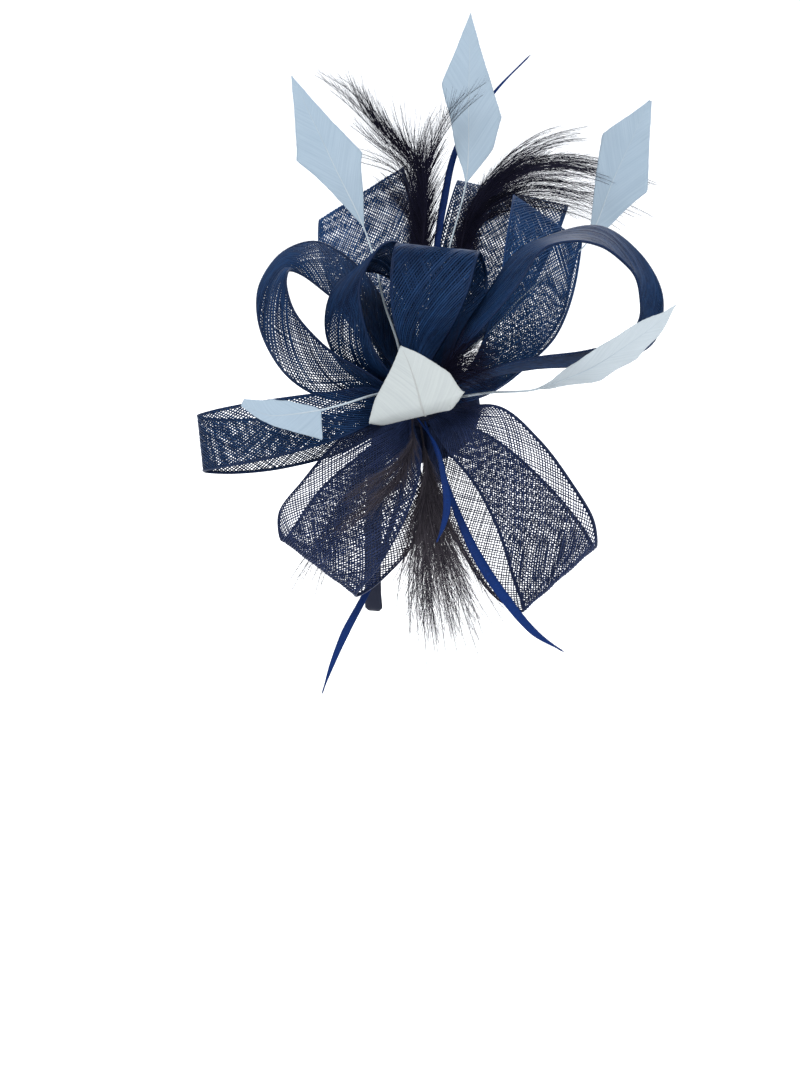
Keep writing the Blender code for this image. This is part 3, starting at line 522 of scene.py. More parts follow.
# Locks of each hackle spray: the direction across, and places from the parting.
sprays = {
    "hackle_upper_left": {
        "root": (-17, 0.35), "parting": (-0.065, 0.62, 0.045),
        "locks": [
            ((0.65, 0.75, 0.0), [(-0.06, 0.84, 0.07), (-0.07, 1.00, 0.10),
                                 (-0.22, 1.15, 0.14), (-0.375, 1.30, 0.18),
                                 (-0.53, 1.40, 0.20)]),
            ((0.60, 0.80, 0.0), [(-0.075, 0.84, 0.055), (-0.12, 1.02, 0.08),
                                 (-0.25, 1.10, 0.14), (-0.37, 1.16, 0.22)]),
            ((0.40, 0.90, 0.0), [(-0.08, 0.82, 0.04), (-0.15, 1.02, 0.04),
                                 (-0.30, 1.11, 0.03), (-0.52, 1.16, 0.03)]),
            ((0.55, 0.85, 0.0), [(-0.085, 0.80, 0.03), (-0.145, 0.91, 0.03),
                                 (-0.22, 0.99, 0.03), (-0.30, 1.05, 0.03)]),
        ],
    },
    "hackle_upper_middle": {
        "root": (-5, 0.35), "parting": (-0.03, 0.66, 0.06),
        "locks": [
            ((0.90, -0.45, 0.0), [(-0.035, 0.85, 0.09), (-0.02, 1.02, 0.13),
                                  (0.04, 1.14, 0.19), (0.12, 1.21, 0.235),
                                  (0.23, 1.27, 0.27)]),
            ((0.95, -0.20, 0.0), [(-0.035, 0.85, 0.10), (-0.05, 1.02, 0.14),
                                  (-0.03, 1.14, 0.18), (0.03, 1.24, 0.22)]),
        ],
    },
    "hackle_right": {
        "root": (28, 0.35), "parting": (0.115, 0.60, 0.04),
        "locks": [
            ((-0.45, 0.90, 0.0), [(0.16, 0.84, 0.04), (0.32, 1.03, 0.04),
                                  (0.52, 1.11, 0.00), (0.72, 1.12, -0.05),
                                  (0.97, 1.06, -0.08)]),
            ((-0.45, 0.90, 0.0), [(0.15, 0.82, 0.06), (0.28, 1.02, 0.08),
                                  (0.46, 1.16, 0.07), (0.68, 1.25, 0.04)]),
            ((-0.20, 0.97, 0.0), [(0.16, 0.82, 0.07), (0.32, 0.96, 0.09),
                                  (0.50, 1.00, 0.10), (0.66, 0.96, 0.12),
                                  (0.79, 0.87, 0.14)]),
            ((-0.10, 0.97, 0.0), [(0.18, 0.84, 0.02), (0.38, 1.00, -0.01),
                                  (0.60, 1.02, -0.06), (0.80, 0.98, -0.09),
                                  (0.98, 0.90, -0.10)]),
            ((0.30, 0.90, 0.0), [(0.18, 0.80, 0.01), (0.38, 0.95, -0.04),
                                 (0.60, 0.97, -0.10), (0.78, 0.90, -0.13),
                                 (0.88, 0.80, -0.14)]),
        ],
    },
    "hackle_lower_front": {
        "root": (-168, 0.86), "parting": (-0.01, -0.22, 0.205),
        "locks": [
            ((0.75, -0.65, 0.0), [(-0.04, -0.38, 0.26), (-0.14, -0.50, 0.28),
                                  (-0.27, -0.62, 0.26)]),
            ((0.70, -0.70, 0.0), [(-0.05, -0.34, 0.27), (-0.15, -0.43, 0.29),
                                  (-0.25, -0.51, 0.29)]),
        ],
    },
    "hackle_lower_back": {
        "root": (-124, 0.12), "parting": (-0.17, -0.20, 0.010),
        "locks": [
            ((0.75, -0.65, 0.0), [(-0.27, -0.36, -0.06), (-0.38, -0.55, -0.11),
                                  (-0.46, -0.69, -0.135), (-0.50, -0.77, -0.15)]),
            ((0.80, -0.60, 0.0), [(-0.26, -0.37, -0.07), (-0.33, -0.55, -0.115),
                                  (-0.38, -0.70, -0.14), (-0.40, -0.80, -0.16)]),
        ],
    },
    "hackle_lower_middle": {
        "root": (178, 0.36), "parting": (0.04, -0.28, 0.08),
        "locks": [
            ((1.0, 0.0, 0.0), [(0.04, -0.52, 0.08), (0.05, -0.78, 0.06),
                               (0.08, -1.02, 0.03)]),
            ((1.0, 0.10, 0.0), [(0.07, -0.52, 0.075), (0.11, -0.78, 0.06),
                                (0.15, -1.00, 0.04)]),
            ((0.95, 0.30, 0.0), [(0.10, -0.52, 0.07), (0.18, -0.77, 0.05),
                                 (0.26, -1.00, 0.03)]),
            ((0.90, 0.40, 0.0), [(0.12, -0.50, 0.08), (0.24, -0.72, 0.06),
                                 (0.37, -0.90, 0.03)]),
            ((0.97, -0.20, 0.0), [(0.01, -0.52, 0.085), (0.00, -0.74, 0.07),
                                  (0.01, -0.92, 0.04)]),
        ],
    },
}

tuft = {
    "name": "hackle_centre_tuft",
    "parting": (0.06, 0.015, 0.19),
    "locks": [
        ((0.0, 0.95, 0.30), [(0.12, 0.03, 0.23), (0.19, 0.03, 0.24), (0.27, 0.00, 0.24)]),
        ((-0.30, 0.90, 0.30), [(0.11, 0.06, 0.23), (0.18, 0.09, 0.25), (0.24, 0.10, 0.25)]),
        ((0.20, 0.95, 0.30), [(0.11, -0.02, 0.24), (0.16, -0.05, 0.27), (0.21, -0.08, 0.28)]),
    ],
}

# Shared shader effects

def makeToneDrift():
    # drifts between two colours over the surface, pushed up or down by a bias
    tree, given, result = newTree(
        "toneDrift", "ShaderNodeTree",
        [("Dark", "Color"), ("Light", "Color"), ("Scale", "Float"), ("Bias", "Float")],
        [("Color", "Color")])
    place = addNode(tree, "ShaderNodeTexCoord")
    noise = addNode(tree, "ShaderNodeTexNoise", {
        "Vector": place.outputs["Object"], "Scale": given.outputs["Scale"], "Detail": 4.0})
    pushed = addMath(tree, "ADD", noise.outputs["Fac"], given.outputs["Bias"], use_clamp=True)
    mixed = addNode(tree, "ShaderNodeMix", {
        0: pushed, 6: given.outputs["Dark"], 7: given.outputs["Light"]}, data_type="RGBA")
    tree.links.new(mixed.outputs[2], result.inputs["Color"])
    return tree


def makeBarbLines():
    # fine lines along a vane: a height for the bump, and a mask of streaks along the barbs
    tree, given, result = newTree("barbLines", "ShaderNodeTree", [("Pitch", "Float")],
                                  [("Height", "Float"), ("Mask", "Float")])
    line = shaderAttribute(tree, "barbLine")
    turns = addMath(tree, "DIVIDE", line, given.outputs["Pitch"])
    wave = addMath(tree, "SINE", addMath(tree, "MULTIPLY", turns, 2 * pi))
    height = addMath(tree, "MULTIPLY_ADD", wave, 0.5, 0.5)
    stretched = addNode(tree, "ShaderNodeCombineXYZ", {
        "X": addMath(tree, "MULTIPLY", line, 900.0), "Y": shaderAttribute(tree, "vanePlace")})
    streak = addNode(tree, "ShaderNodeTexNoise", {
        "Vector": stretched.outputs[0], "Scale": 1.0, "Detail": 3.0, "Roughness": 0.6})
    tree.links.new(height, result.inputs["Height"])
    tree.links.new(streak.outputs["Fac"], result.inputs["Mask"])
    return tree


def makeWeave():
    # over and under of a fine cloth, as a height
    tree, given, result = newTree(
        "clothWeave", "ShaderNodeTree", [("Pitch", "Float"), ("Slub", "Float")],
        [("Height", "Float")])
    place = addNode(tree, "ShaderNodeTexCoord").outputs["Object"]
    count = addMath(tree, "DIVIDE", 1.0, given.outputs["Pitch"])
    wave = addNode(tree, "ShaderNodeTexWave", {
        "Vector": place, "Scale": count, "Distortion": given.outputs["Slub"], "Detail": 2.0},
        bands_direction="DIAGONAL")
    noise = addNode(tree, "ShaderNodeTexNoise", {"Vector": place, "Scale": count, "Detail": 3.0})
    height = addMath(tree, "ADD", wave.outputs["Fac"], noise.outputs["Fac"])
    tree.links.new(height, result.inputs["Height"])
    return tree


toneDrift = makeToneDrift()
barbLines = makeBarbLines()
clothWeave = makeWeave()

# how far an attribute pushes a colour towards its light tone, and where it starts
toneGain = {"thread": (0.8, -0.4), "vane": (0.9, -0.50), "barbTipSheen": (0.55, -0.55), "barb": 0.6}
shaderInputs = {"roughness": "Roughness", "gloss": "Specular IOR Level", "sheen": "Sheen Weight"}


def paintShader(tree, shader, look, bias):
    # a base colour that drifts between the look's two tones, then the look's plain values
    color = addEffect(tree, toneDrift, {
        "Dark": (*look["dark"], 1.0), "Light": (*look["light"], 1.0), "Scale": look["patch"],
        "Bias": bias})
    tree.links.new(color.outputs["Color"], shader.inputs["Base Color"])
    for name, socket in shaderInputs.items():
        if name in look:
            shader.inputs[socket].default_value = look[name]


def addBump(tree, shader, relief, distance, height):
    bump = addNode(tree, "ShaderNodeBump", {
        "Strength": relief, "Distance": distance, "Height": height})
    tree.links.new(bump.outputs[0], shader.inputs["Normal"])


def threadMaterial(name, look):
    # threads and quills: the tone attribute gives each its own shade
    material, tree, shader = newMaterial(name)
    bias = addMath(tree, "MULTIPLY_ADD", shaderAttribute(tree, "tone"), *toneGain["thread"])
    paintShader(tree, shader, look, bias)
    return material


def vaneMaterial(name, look):
    # a thin cut vane: barb lines in relief, streaks of paler and clearer barbs
    material, tree, shader = newMaterial(name)
    lines = addEffect(tree, barbLines, {"Pitch": look["pitch"]})
    bias = addMath(tree, "MULTIPLY_ADD", lines.outputs["Mask"], *toneGain["vane"])
    paintShader(tree, shader, look, bias)
    clear = addNode(tree, "ShaderNodeMapRange", {
        0: lines.outputs["Mask"], 1: 0.25, 2: 0.60, 3: look["thinnest"], 4: 1.0})
    tree.links.new(clear.outputs[0], shader.inputs["Alpha"])
    addBump(tree, shader, look["relief"], 0.0004, lines.outputs["Height"])
    return material


def barbMaterial(name, look):
    # hackle barbs: near black at the root, lighter towards the tip, where a sheen is painted into
    # the colour
    material, tree, shader = newMaterial(name)
    # the tip attribute lifts each barb towards the light tone: a painted sheen on the barb tips
    pushed = addMath(tree, "MULTIPLY_ADD", shaderAttribute(tree, "tip"), *toneGain["barbTipSheen"])
    bias = addMath(tree, "MULTIPLY_ADD", shaderAttribute(tree, "tone"), toneGain["barb"], pushed)
    paintShader(tree, shader, look, bias)
    return material


def clothMaterial(name, look):
    material, tree, shader = newMaterial(name)
    paintShader(tree, shader, look, 0.0)
    weave = addEffect(tree, clothWeave, {"Pitch": look["pitch"], "Slub": look["slub"]})
    addBump(tree, shader, look["relief"], 0.0003, weave.outputs["Height"])
    return material


# Node trees that make what follows a line

barbShape = {"spineSides": 5, "sides": 3, "points": 3, "middlePlace": 0.55, "endPlace": 0.96,
             "taper": -0.62, "shortest": 0.0004}


def addTube(tree, curve, sides, radius, scale):
    # a round tube along a curve, with closed ends
    profile = addNode(tree, "GeometryNodeCurvePrimitiveCircle", {
        "Resolution": sides, "Radius": radius})
    tube = addNode(tree, "GeometryNodeCurveToMesh", {
        "Curve": curve, "Profile Curve": profile.outputs[0], "Scale": scale, "Fill Caps": True})
    return tube.outputs[0]


def finishTree(tree, given, result, geometry):
    real = addNode(tree, "GeometryNodeRealizeInstances", {"Geometry": geometry})
    smooth = addNode(tree, "GeometryNodeSetShadeSmooth", {"Geometry": real.outputs[0]})
    painted = addNode(tree, "GeometryNodeSetMaterial", {
        "Geometry": smooth.outputs[0], "Material": given.outputs["Material"]})
    tree.links.new(painted.outputs[0], result.inputs["Geometry"])


def makeTubeTree():
    # tubes along the edges of the given mesh, lifted over and under where threads cross
    tree, given, result = newNodeTree("threadTubes", [
        ("Thread Radius", "Float"), ("Crossing Lift", "Float"), ("Sides", "Int"),
        ("Material", "Material")])
    scaled = addNode(tree, "ShaderNodeVectorMath", {
        0: readAttribute(tree, "lift", "FLOAT_VECTOR"),
        "Scale": given.outputs["Crossing Lift"]}, operation="SCALE")
    lifted = addNode(tree, "GeometryNodeSetPosition", {
        "Geometry": given.outputs["Geometry"], "Offset": scaled.outputs[0]})
    lines = addNode(tree, "GeometryNodeMeshToCurve", {"Mesh": lifted.outputs[0]})
    tubes = addTube(tree, lines.outputs[0], given.outputs["Sides"],
                    given.outputs["Thread Radius"], readAttribute(tree, "thick"))
    finishTree(tree, given, result, tubes)
    return tree


def makeBarbTree():
    # a spine along the given edges, with a curved barb to each side at every point of it
    tree, given, result = newNodeTree("hackleBarbs", [
        ("Spine Radius", "Float"), ("Barb Share", "Float"), ("Bend", "Float"),
        ("Length Spread", "Float"), ("Seed", "Int"), ("Material", "Material")])
    lines = addNode(tree, "GeometryNodeMeshToCurve", {"Mesh": given.outputs["Geometry"]})
    parts = [addTube(tree, lines.outputs[0], barbShape["spineSides"],
                     given.outputs["Spine Radius"], readAttribute(tree, "thick"))]
    for side, name in ((1.0, "Left"), (-1.0, "Right")):
        bent = addMath(tree, "MULTIPLY", given.outputs["Bend"], side)
        end = addNode(tree, "ShaderNodeCombineXYZ", {"X": barbShape["endPlace"], "Y": bent})
        line = addNode(tree, "GeometryNodeCurveQuadraticBezier", {
            "Resolution": barbShape["points"], "Start": (0.0, 0.0, 0.0),
            "Middle": (barbShape["middlePlace"], 0.0, 0.0), "End": end.outputs[0]})
        along = addNode(tree, "GeometryNodeSplineParameter").outputs["Factor"]
        kept = addNode(tree, "GeometryNodeStoreNamedAttribute", {
            "Geometry": line.outputs[0], "Name": "tip", "Value": along},
            data_type="FLOAT", domain="POINT")
        taper = addMath(tree, "MULTIPLY_ADD", along, barbShape["taper"], 1.0)
        barb = addTube(tree, kept.outputs[0], barbShape["sides"], given.outputs["Barb Share"],
                       taper)
        length = readAttribute(tree, "reach" + name)
        low = addMath(tree, "SUBTRACT", 1.0, given.outputs["Length Spread"])
        spread = addNode(tree, "FunctionNodeRandomValue", {
            2: low, 3: 1.0, "Seed": given.outputs["Seed"]}, data_type="FLOAT")
        turned = addNode(tree, "FunctionNodeAxesToRotation", {
            "Primary Axis": readAttribute(tree, "aim" + name, "FLOAT_VECTOR"),
            "Secondary Axis": readAttribute(tree, "face", "FLOAT_VECTOR")},
            primary_axis="X", secondary_axis="Z")
        grown = addNode(tree, "FunctionNodeCompare", {0: length, 1: barbShape["shortest"]},
                        data_type="FLOAT", operation="GREATER_THAN")
        placed = addNode(tree, "GeometryNodeInstanceOnPoints", {
            "Points": given.outputs["Geometry"], "Instance": barb,
            "Selection": grown.outputs[0], "Rotation": turned.outputs[0],
            "Scale": addMath(tree, "MULTIPLY", length, spread.outputs[1])})
        parts.append(placed.outputs[0])
    joined = tree.nodes.new("GeometryNodeJoinGeometry")
    for part in reversed(parts):
        tree.links.new(part, joined.inputs[0])
    finishTree(tree, given, result, joined.outputs[0])
    return tree


threadTubes = makeTubeTree()
hackleBarbs = makeBarbTree()


def threadPiece(name, lines, lifts, thick, tones, values):
    # lines is a list of point arrays; each becomes one tube
    edges, start = [], 0
    for line in lines:
        edges += [(start + i, start + i + 1) for i in range(len(line) - 1)]
        start += len(line)
    obj = meshObject(name, np.concatenate(lines), [], edges)
    giveAttribute(obj, "lift", "FLOAT_VECTOR", np.concatenate(lifts))
    giveAttribute(obj, "thick", "FLOAT", np.concatenate(thick))
    giveAttribute(obj, "tone", "FLOAT", np.concatenate(tones))
    return runTree(obj, threadTubes, values)


def plainThreads(name, lines, thick, tones, radius, sides, material):
    # threads that cross nothing, so nothing lifts them
    return threadPiece(name, lines, [np.zeros_like(line) for line in lines], thick, tones, {
        "Thread Radius": radius, "Crossing Lift": 0.0, "Sides": sides, "Material": material})


seeds = {"ribbon": 100, "feather": 200, "frontFeather": 230, "spray": 300, "tuft": 340,
         "knot": 400}

# Mesh ribbons

ribbonLook = {
    "narrow": {"spacing": 0.00165, "slope": 1.40, "threadRadius": 0.00031, "pleat": 0.0003},
    "middle": {"spacing": 0.00150, "slope": 1.30, "threadRadius": 0.00036, "pleat": 0.0003},
    "wide": {"spacing": 0.00155, "slope": 1.00, "threadRadius": 0.00024, "pleat": 0.0008},
    "sheer": {"spacing": 0.00145, "slope": 1.00, "threadRadius": 0.00025, "pleat": 0.0008},
    "lift": 0.00012, "threadShift": 0.24, "drawn": 0.20, "drawnSharpness": 10.0, "sides": 3,
    "selvedge": 1.7, "innerSelvedge": 1.3, "innerPlace": 0.965, "selvedgeStep": 0.0016,
    "selvedgeTone": 0.1, "rows": 500, "standoff": 0.0005, "pleatRise": 8.0, "finePleat": 0.15,
    "pleatTwist": 40.0, "thickSpread": (0.8, 1.2), "threadTone": 0.4, "pointTone": 0.6,
}
crinShared = {"patch": 28.0, "roughness": 0.45, "gloss": 0.10}
crinColors = {
    "upper": {"dark": (0.0016, 0.0065, 0.0260), "light": (0.0085, 0.033, 0.095), **crinShared},
    "back": {"dark": (0.0040, 0.0190, 0.0650), "light": (0.020, 0.070, 0.190), **crinShared},
    "lower": {"dark": (0.0050, 0.0095, 0.0290), "light": (0.021, 0.034, 0.092), **crinShared},
}


def ribbonRows(loop):
    width = ribbonWidths[loop["ribbon"]]
    rows = []
    for side, up, out, acrossSide, acrossUp, acrossOut, spread in loop["sections"]:
        across = sprayDirection(acrossSide, acrossUp, acrossOut)
        rows.append([*sharePoint((side, up, out)), *across, spread * width / 2])
    for end, first in (("leave", True), ("back", False)):
        clock, level, lie = loop[end]
        turn = radians(clock)
        across = sprayDirection(cos(turn), -sin(turn), 0.0) if lie == "flat" else outAxis
        near = rows[0 if first else -1]
        if across.dot(Vector(near[3:6])) < 0.0:
            across = -across
        row = [*knotPlace(clock, level, ribbonLook["standoff"]), *across, pinchedWidth / 2]
        rows.insert(0 if first else len(rows), row)
    return rows


def ribbonSurface(loop):
    # a function from metres along and share across to places and normals on the ribbon
    rows = smoothRows(ribbonRows(loop), ribbonLook["rows"])
    centre, across, half = rows[:, :3], unit(rows[:, 3:6]), rows[:, 6]
    normal = unit(np.cross(across, unit(np.gradient(centre, axis=0))))
    along = lengthAlong(centre)
    part = along / along[-1]
    gathered = 1.0 - half / half.max()
    pleat = ribbonLook[loop["ribbon"]]["pleat"] * gathered * np.minimum(
        1.0, ribbonLook["pleatRise"] * part * (1.0 - part))

    def at(u, v):
        def read(table):
            if table.ndim == 1:
                return np.interp(u, along, table)
            return np.stack([np.interp(u, along, table[:, k]) for k in range(3)], axis=-1)
        wave = np.cos(3 * pi * v) + ribbonLook["finePleat"] * np.cos(
            9 * pi * v + ribbonLook["pleatTwist"] * u)
        facing = unit(read(normal))
        place = read(centre) + unit(read(across)) * (read(half) * v)[..., None]
        return place + facing * (read(pleat) * wave)[..., None], facing

    return at, along[-1], half.max()


def makeRibbon(name, loop, seed, material):
    at, length, half = ribbonSurface(loop)
    look = ribbonLook["sheer" if name.startswith("crin_loop_lower") else loop["ribbon"]]
    chance = np.random.default_rng(seed)
    step = look["spacing"] / 2
    rowsAlong = int(length / step)
    rowsAcross = int(round(2 * half * look["slope"] / step))
    # the ribbon is drawn out before its fold and bunched after it
    drawn = 1.0 + ribbonLook["drawn"] * np.tanh(
        ribbonLook["drawnSharpness"] * np.linspace(0.5, -0.5, rowsAlong))
    u = np.concatenate([[0.0], np.cumsum(drawn)]) / drawn.sum() * length
    u = u[:, None].repeat(rowsAcross + 1, axis=1)
    v = np.linspace(-1.0, 1.0, rowsAcross + 1)[None, :].repeat(rowsAlong + 1, axis=0)
    loose = np.sin(pi * (v + 1) / 2)
    rising, falling = chance.normal(
        0, ribbonLook["threadShift"], (2, rowsAlong + rowsAcross + 1))
    m, n = np.indices(u.shape)
    rising, falling = rising[m - n + rowsAcross], falling[m + n]
    u = np.clip(u + (rising + falling) / 2 * step, 0.0, length)
    v = v + (falling - rising) / 2 * loose * 2 / rowsAcross
    place, facing = at(u, v)
    lines, lifts, thick, tones = [], [], [], []

    def addThread(m, n, sign):
        # every second crossing is enough to carry a thread
        chosen = np.unique(np.append(np.arange(0, len(n), 2), len(n) - 1))
        m, n = m[chosen], n[chosen]
        lines.append(place[m, n])
        lifts.append(facing[m, n] * sign)
        thick.append(np.full(len(n), chance.uniform(*ribbonLook["thickSpread"])))
        tones.append(chance.uniform(0.0, ribbonLook["threadTone"])
                     + chance.uniform(0.0, ribbonLook["pointTone"], len(n)))

    for start in range(-rowsAcross - rowsAcross % 2, rowsAlong + 1, 2):
        n = np.arange(max(0, -start), min(rowsAcross, rowsAlong - start) + 1)
        if len(n) > 1:
            addThread(start + n, n, 1.0)
    for start in range(0, rowsAlong + rowsAcross + 1, 2):
        n = np.arange(max(0, start - rowsAlong), min(rowsAcross, start) + 1)
        if len(n) > 1:
            addThread(start - n, n, -1.0)
    stops = np.linspace(0.0, length, int(length / ribbonLook["selvedgeStep"]))
    for share, far in (("selvedge", 1.0), ("innerSelvedge", ribbonLook["innerPlace"])):
        for edge in (-far, far):
            line = at(stops, np.full(len(stops), edge))[0]
            lines.append(line)
            lifts.append(np.zeros_like(line))
            thick.append(np.full(len(stops), ribbonLook[share]))
            tones.append(np.full(len(stops), ribbonLook["selvedgeTone"]))
    piece = threadPiece(name + "_net", lines, lifts, thick, tones, {
        "Thread Radius": look["threadRadius"], "Crossing Lift": ribbonLook["lift"],
        "Sides": ribbonLook["sides"], "Material": material})
    keep(piece, name)


crinPaints = {part: threadMaterial(part + "Crin", look) for part, look in crinColors.items()}
for index, (name, loop) in enumerate(ribbonLoops.items()):
    if name.startswith("crin_loop_lower"):
        makeRibbon(name, loop, seeds["ribbon"] + index, crinPaints["lower"])
    else:
        paint = crinPaints["back" if loop["ribbon"] == "wide" else "upper"]
        makeRibbon(name, loop, seeds["ribbon"] + index, paint)
print("mesh ribbons woven:", len(ribbonLoops))


# Cut feathers and spikes

featherLook = {
    "vaneThickness": 0.00022, "quillRadius": 0.00055, "quillSides": 8, "tipShare": 0.18,
    "camber": 0.05, "rows": 120, "cells": 22, "barbSlope": 1.5, "edgeFray": 0.00004,
    "frayFrom": 0.002, "vaneFrom": 0.0004, "leastHalf": 0.00015, "waves": 420.0,
    "waveHeight": 0.00035, "standoff": 0.0005,
}
streakScale = 60.0
vaneShared = {"patch": 30.0, "pitch": 0.0006, "relief": 0.08, "gloss": 0.15}
vaneColors = {
    "blue": {"dark": (0.225, 0.290, 0.350), "light": (0.275, 0.335, 0.390), "thinnest": 0.93,
             "roughness": 0.70, **vaneShared},
    "grey": {"dark": (0.30, 0.34, 0.37), "light": (0.38, 0.42, 0.44), "thinnest": 0.95,
             "roughness": 0.70, **vaneShared},
    "warm": {"dark": (0.30, 0.325, 0.325), "light": (0.40, 0.42, 0.41), "thinnest": 0.97,
             "roughness": 0.75, **vaneShared},
}
quillShared = {"patch": 60.0, "roughness": 0.6, "gloss": 0.2}
spikeLook = {
    "thickness": 0.0009, "rows": 70, "ring": 10, "widthShare": 0.78, "leastHalf": 0.00035,
    "tipHalf": 0.00008, "grooveDepth": 0.45, "grooveWidth": 0.25, "barbSlope": 3.0,
}
spikeColors = {"dark": (0.0025, 0.0075, 0.032), "light": (0.0040, 0.026, 0.140), "patch": 30.0,
               "pitch": 0.0009, "thinnest": 1.0, "relief": 0.25, "roughness": 0.40,
               "gloss": 0.06}


def featherRows(feather, width, start, count):
    across = sprayDirection(*feather["across"])
    rows = [[*start, *across, 0.0, 0.0]]
    for side, up, out, left, right in feather["sections"]:
        rows.append([*sharePoint((side, up, out)), *across, left * width, right * width])
    smooth = smoothRows(rows, count, straightFrom=6)
    smooth[:, 6:8] = np.maximum(smooth[:, 6:8], 0.0)
    return smooth


def closedSheet(name, grid, thickness, attributes):
    # a grid of places as a thin closed sheet, with per-place attributes on both faces
    rows, cells = grid.shape[:2]
    normal = unit(np.cross(np.gradient(grid, axis=1), np.gradient(grid, axis=0)))
    top = (grid + normal * thickness / 2).reshape(-1, 3)
    under = (grid - normal * thickness / 2).reshape(-1, 3)
    count = rows * cells
    faces = []
    for i in range(rows - 1):
        for j in range(cells - 1):
            a = i * cells + j
            b, c, d = a + 1, a + cells + 1, a + cells
            faces.append((a, b, c, d))
            faces.append((count + d, count + c, count + b, count + a))
    rim = list(range(cells)) + [i * cells + cells - 1 for i in range(1, rows)]
    rim += [(rows - 1) * cells + j for j in range(cells - 2, -1, -1)]
    rim += [i * cells for i in range(rows - 2, 0, -1)]
    for a, b in zip(rim, rim[1:] + rim[:1]):
        faces.append((b, a, count + a, count + b))
    obj = meshObject(name, np.concatenate([top, under]), faces)
    for label, values in attributes.items():
        flat = np.asarray(values).reshape(-1)
        giveAttribute(obj, label, "FLOAT", np.concatenate([flat, flat]))
    obj.data.shade_smooth()
    turnFacesOut(obj)
    return obj


def makeVane(name, rows, seed):
    # the part of the feather that has barbs, with a shallow camber and a slightly frayed edge
    look = featherLook
    chance = np.random.default_rng(seed)
    wide = np.nonzero(rows[:, 6] + rows[:, 7] > look["vaneFrom"])[0]
    rows = rows[max(0, wide[0] - 1):wide[-1] + 2]
    centre = rows[:, :3]
    across, normal = squareTo(unit(np.gradient(centre, axis=0)), rows[:, 3:6])
    along = lengthAlong(centre)
    v = np.linspace(-1.0, 1.0, look["cells"] + 1)
    left, right = rows[:, 6], rows[:, 7]
    fray = chance.normal(0, 1, (len(rows), 2)) * look["edgeFray"]
    left = np.maximum(left + fray[:, 0] * (left > look["frayFrom"]), look["leastHalf"])
    right = np.maximum(right + fray[:, 1] * (right > look["frayFrom"]), look["leastHalf"])
    reach = np.where(v[None, :] < 0, left[:, None], right[:, None]) * v[None, :]
    wave = (np.sin(along * look["waves"] + seed)[:, None] * np.abs(v)[None, :] ** 2
            * look["waveHeight"])
    bow = -look["camber"] * np.abs(reach) + wave
    grid = centre[:, None] + across[:, None] * reach[..., None] + normal[:, None] * bow[..., None]
    return closedSheet(name, grid, look["vaneThickness"], {
        "barbLine": along[:, None] - np.abs(reach) * look["barbSlope"],
        "vanePlace": reach * streakScale + seed})


def makeCutFeather(node, feather, start, seed, vanePaint, quillPaint):
    rows = featherRows(feather, featherWidth, start, featherLook["rows"])
    vane = makeVane(node + "_vane", rows, seed)
    vane.data.materials.append(vanePaint)
    keep(vane, node)
    part = np.linspace(0.0, 1.0, len(rows))
    thick = 1.0 - (1.0 - featherLook["tipShare"]) * part
    quill = plainThreads(node + "_quill", [rows[:, :3]], [thick], [1.0 - part],
                         featherLook["quillRadius"], featherLook["quillSides"], quillPaint)
    keep(quill, node)


def loft(name, rings):
    # closed body through rings of places
    count = rings.shape[1]
    faces = []
    for i in range(len(rings) - 1):
        for j in range(count):
            k = (j + 1) % count
            faces.append((i * count + j, i * count + k, (i + 1) * count + k, (i + 1) * count + j))
    faces.append(tuple(range(count)))
    faces.append(tuple((len(rings) - 1) * count + j for j in reversed(range(count))))
    obj = meshObject(name, rings.reshape(-1, 3), faces)
    turnFacesOut(obj)
    obj.data.shade_smooth()
    return obj


def makeSpike(node, feather, start, material):
    look = spikeLook
    rows = featherRows(feather, spikeWidth, start, look["rows"])
    across, normal = squareTo(unit(np.gradient(rows[:, :3], axis=0)), rows[:, 3:6])
    turns = np.linspace(0.0, 2 * pi, look["ring"], endpoint=False)
    half = np.maximum((rows[:, 6] + rows[:, 7]) / 2 * look["widthShare"], look["leastHalf"])
    half[-1] = look["tipHalf"]
    thick = np.minimum(half, look["thickness"] / 2)
    groove = 1.0 - look["grooveDepth"] * np.exp(-(np.cos(turns) / look["grooveWidth"]) ** 2)
    reach = half[:, None] * np.cos(turns)
    rings = (rows[:, None, :3] + across[:, None] * reach[..., None]
             + normal[:, None] * (thick[:, None] * np.sin(turns) * groove)[..., None])
    piece = loft(node + "_blade", rings)
    line = lengthAlong(rows[:, :3])[:, None] - np.abs(reach) * look["barbSlope"]
    giveAttribute(piece, "barbLine", "FLOAT", line)
    giveAttribute(piece, "vanePlace", "FLOAT", reach * streakScale)
    piece.data.materials.append(material)
    keep(piece, node)


blueVane = vaneMaterial("paleBlueVane", vaneColors["blue"])
greyVane = vaneMaterial("paleGreyVane", vaneColors["grey"])
warmVane = vaneMaterial("warmVane", vaneColors["warm"])
spikePaint = vaneMaterial("royalBlueSpike", spikeColors)
paleQuill = threadMaterial("paleQuill", {
    "dark": (0.24, 0.29, 0.33), "light": (0.42, 0.47, 0.50), **quillShared})
warmQuill = threadMaterial("warmQuill", {
    "dark": (0.26, 0.27, 0.26), "light": (0.36, 0.37, 0.36), **quillShared})
for index, (name, feather) in enumerate(feathers.items()):
    start = knotPlace(*feather["root"], standoff=featherLook["standoff"])
    if feather["width"] == "feather":
        vanePaint = greyVane if name == "cut_feather_right" else blueVane
        makeCutFeather(name, feather, start, seeds["feather"] + index, vanePaint, paleQuill)
    else:
        makeSpike(name, feather, start, spikePaint)
frontStart = sprayPoint(
    0.0, -knot["radius"] / 2, knot["height"] + seatGap + featherLook["standoff"])
makeCutFeather(frontFeather["name"], frontFeather, frontStart, seeds["frontFeather"], warmVane,
               warmQuill)
print("feathers and spikes cut:", len(feathers) + 1)


# Hackle sprays

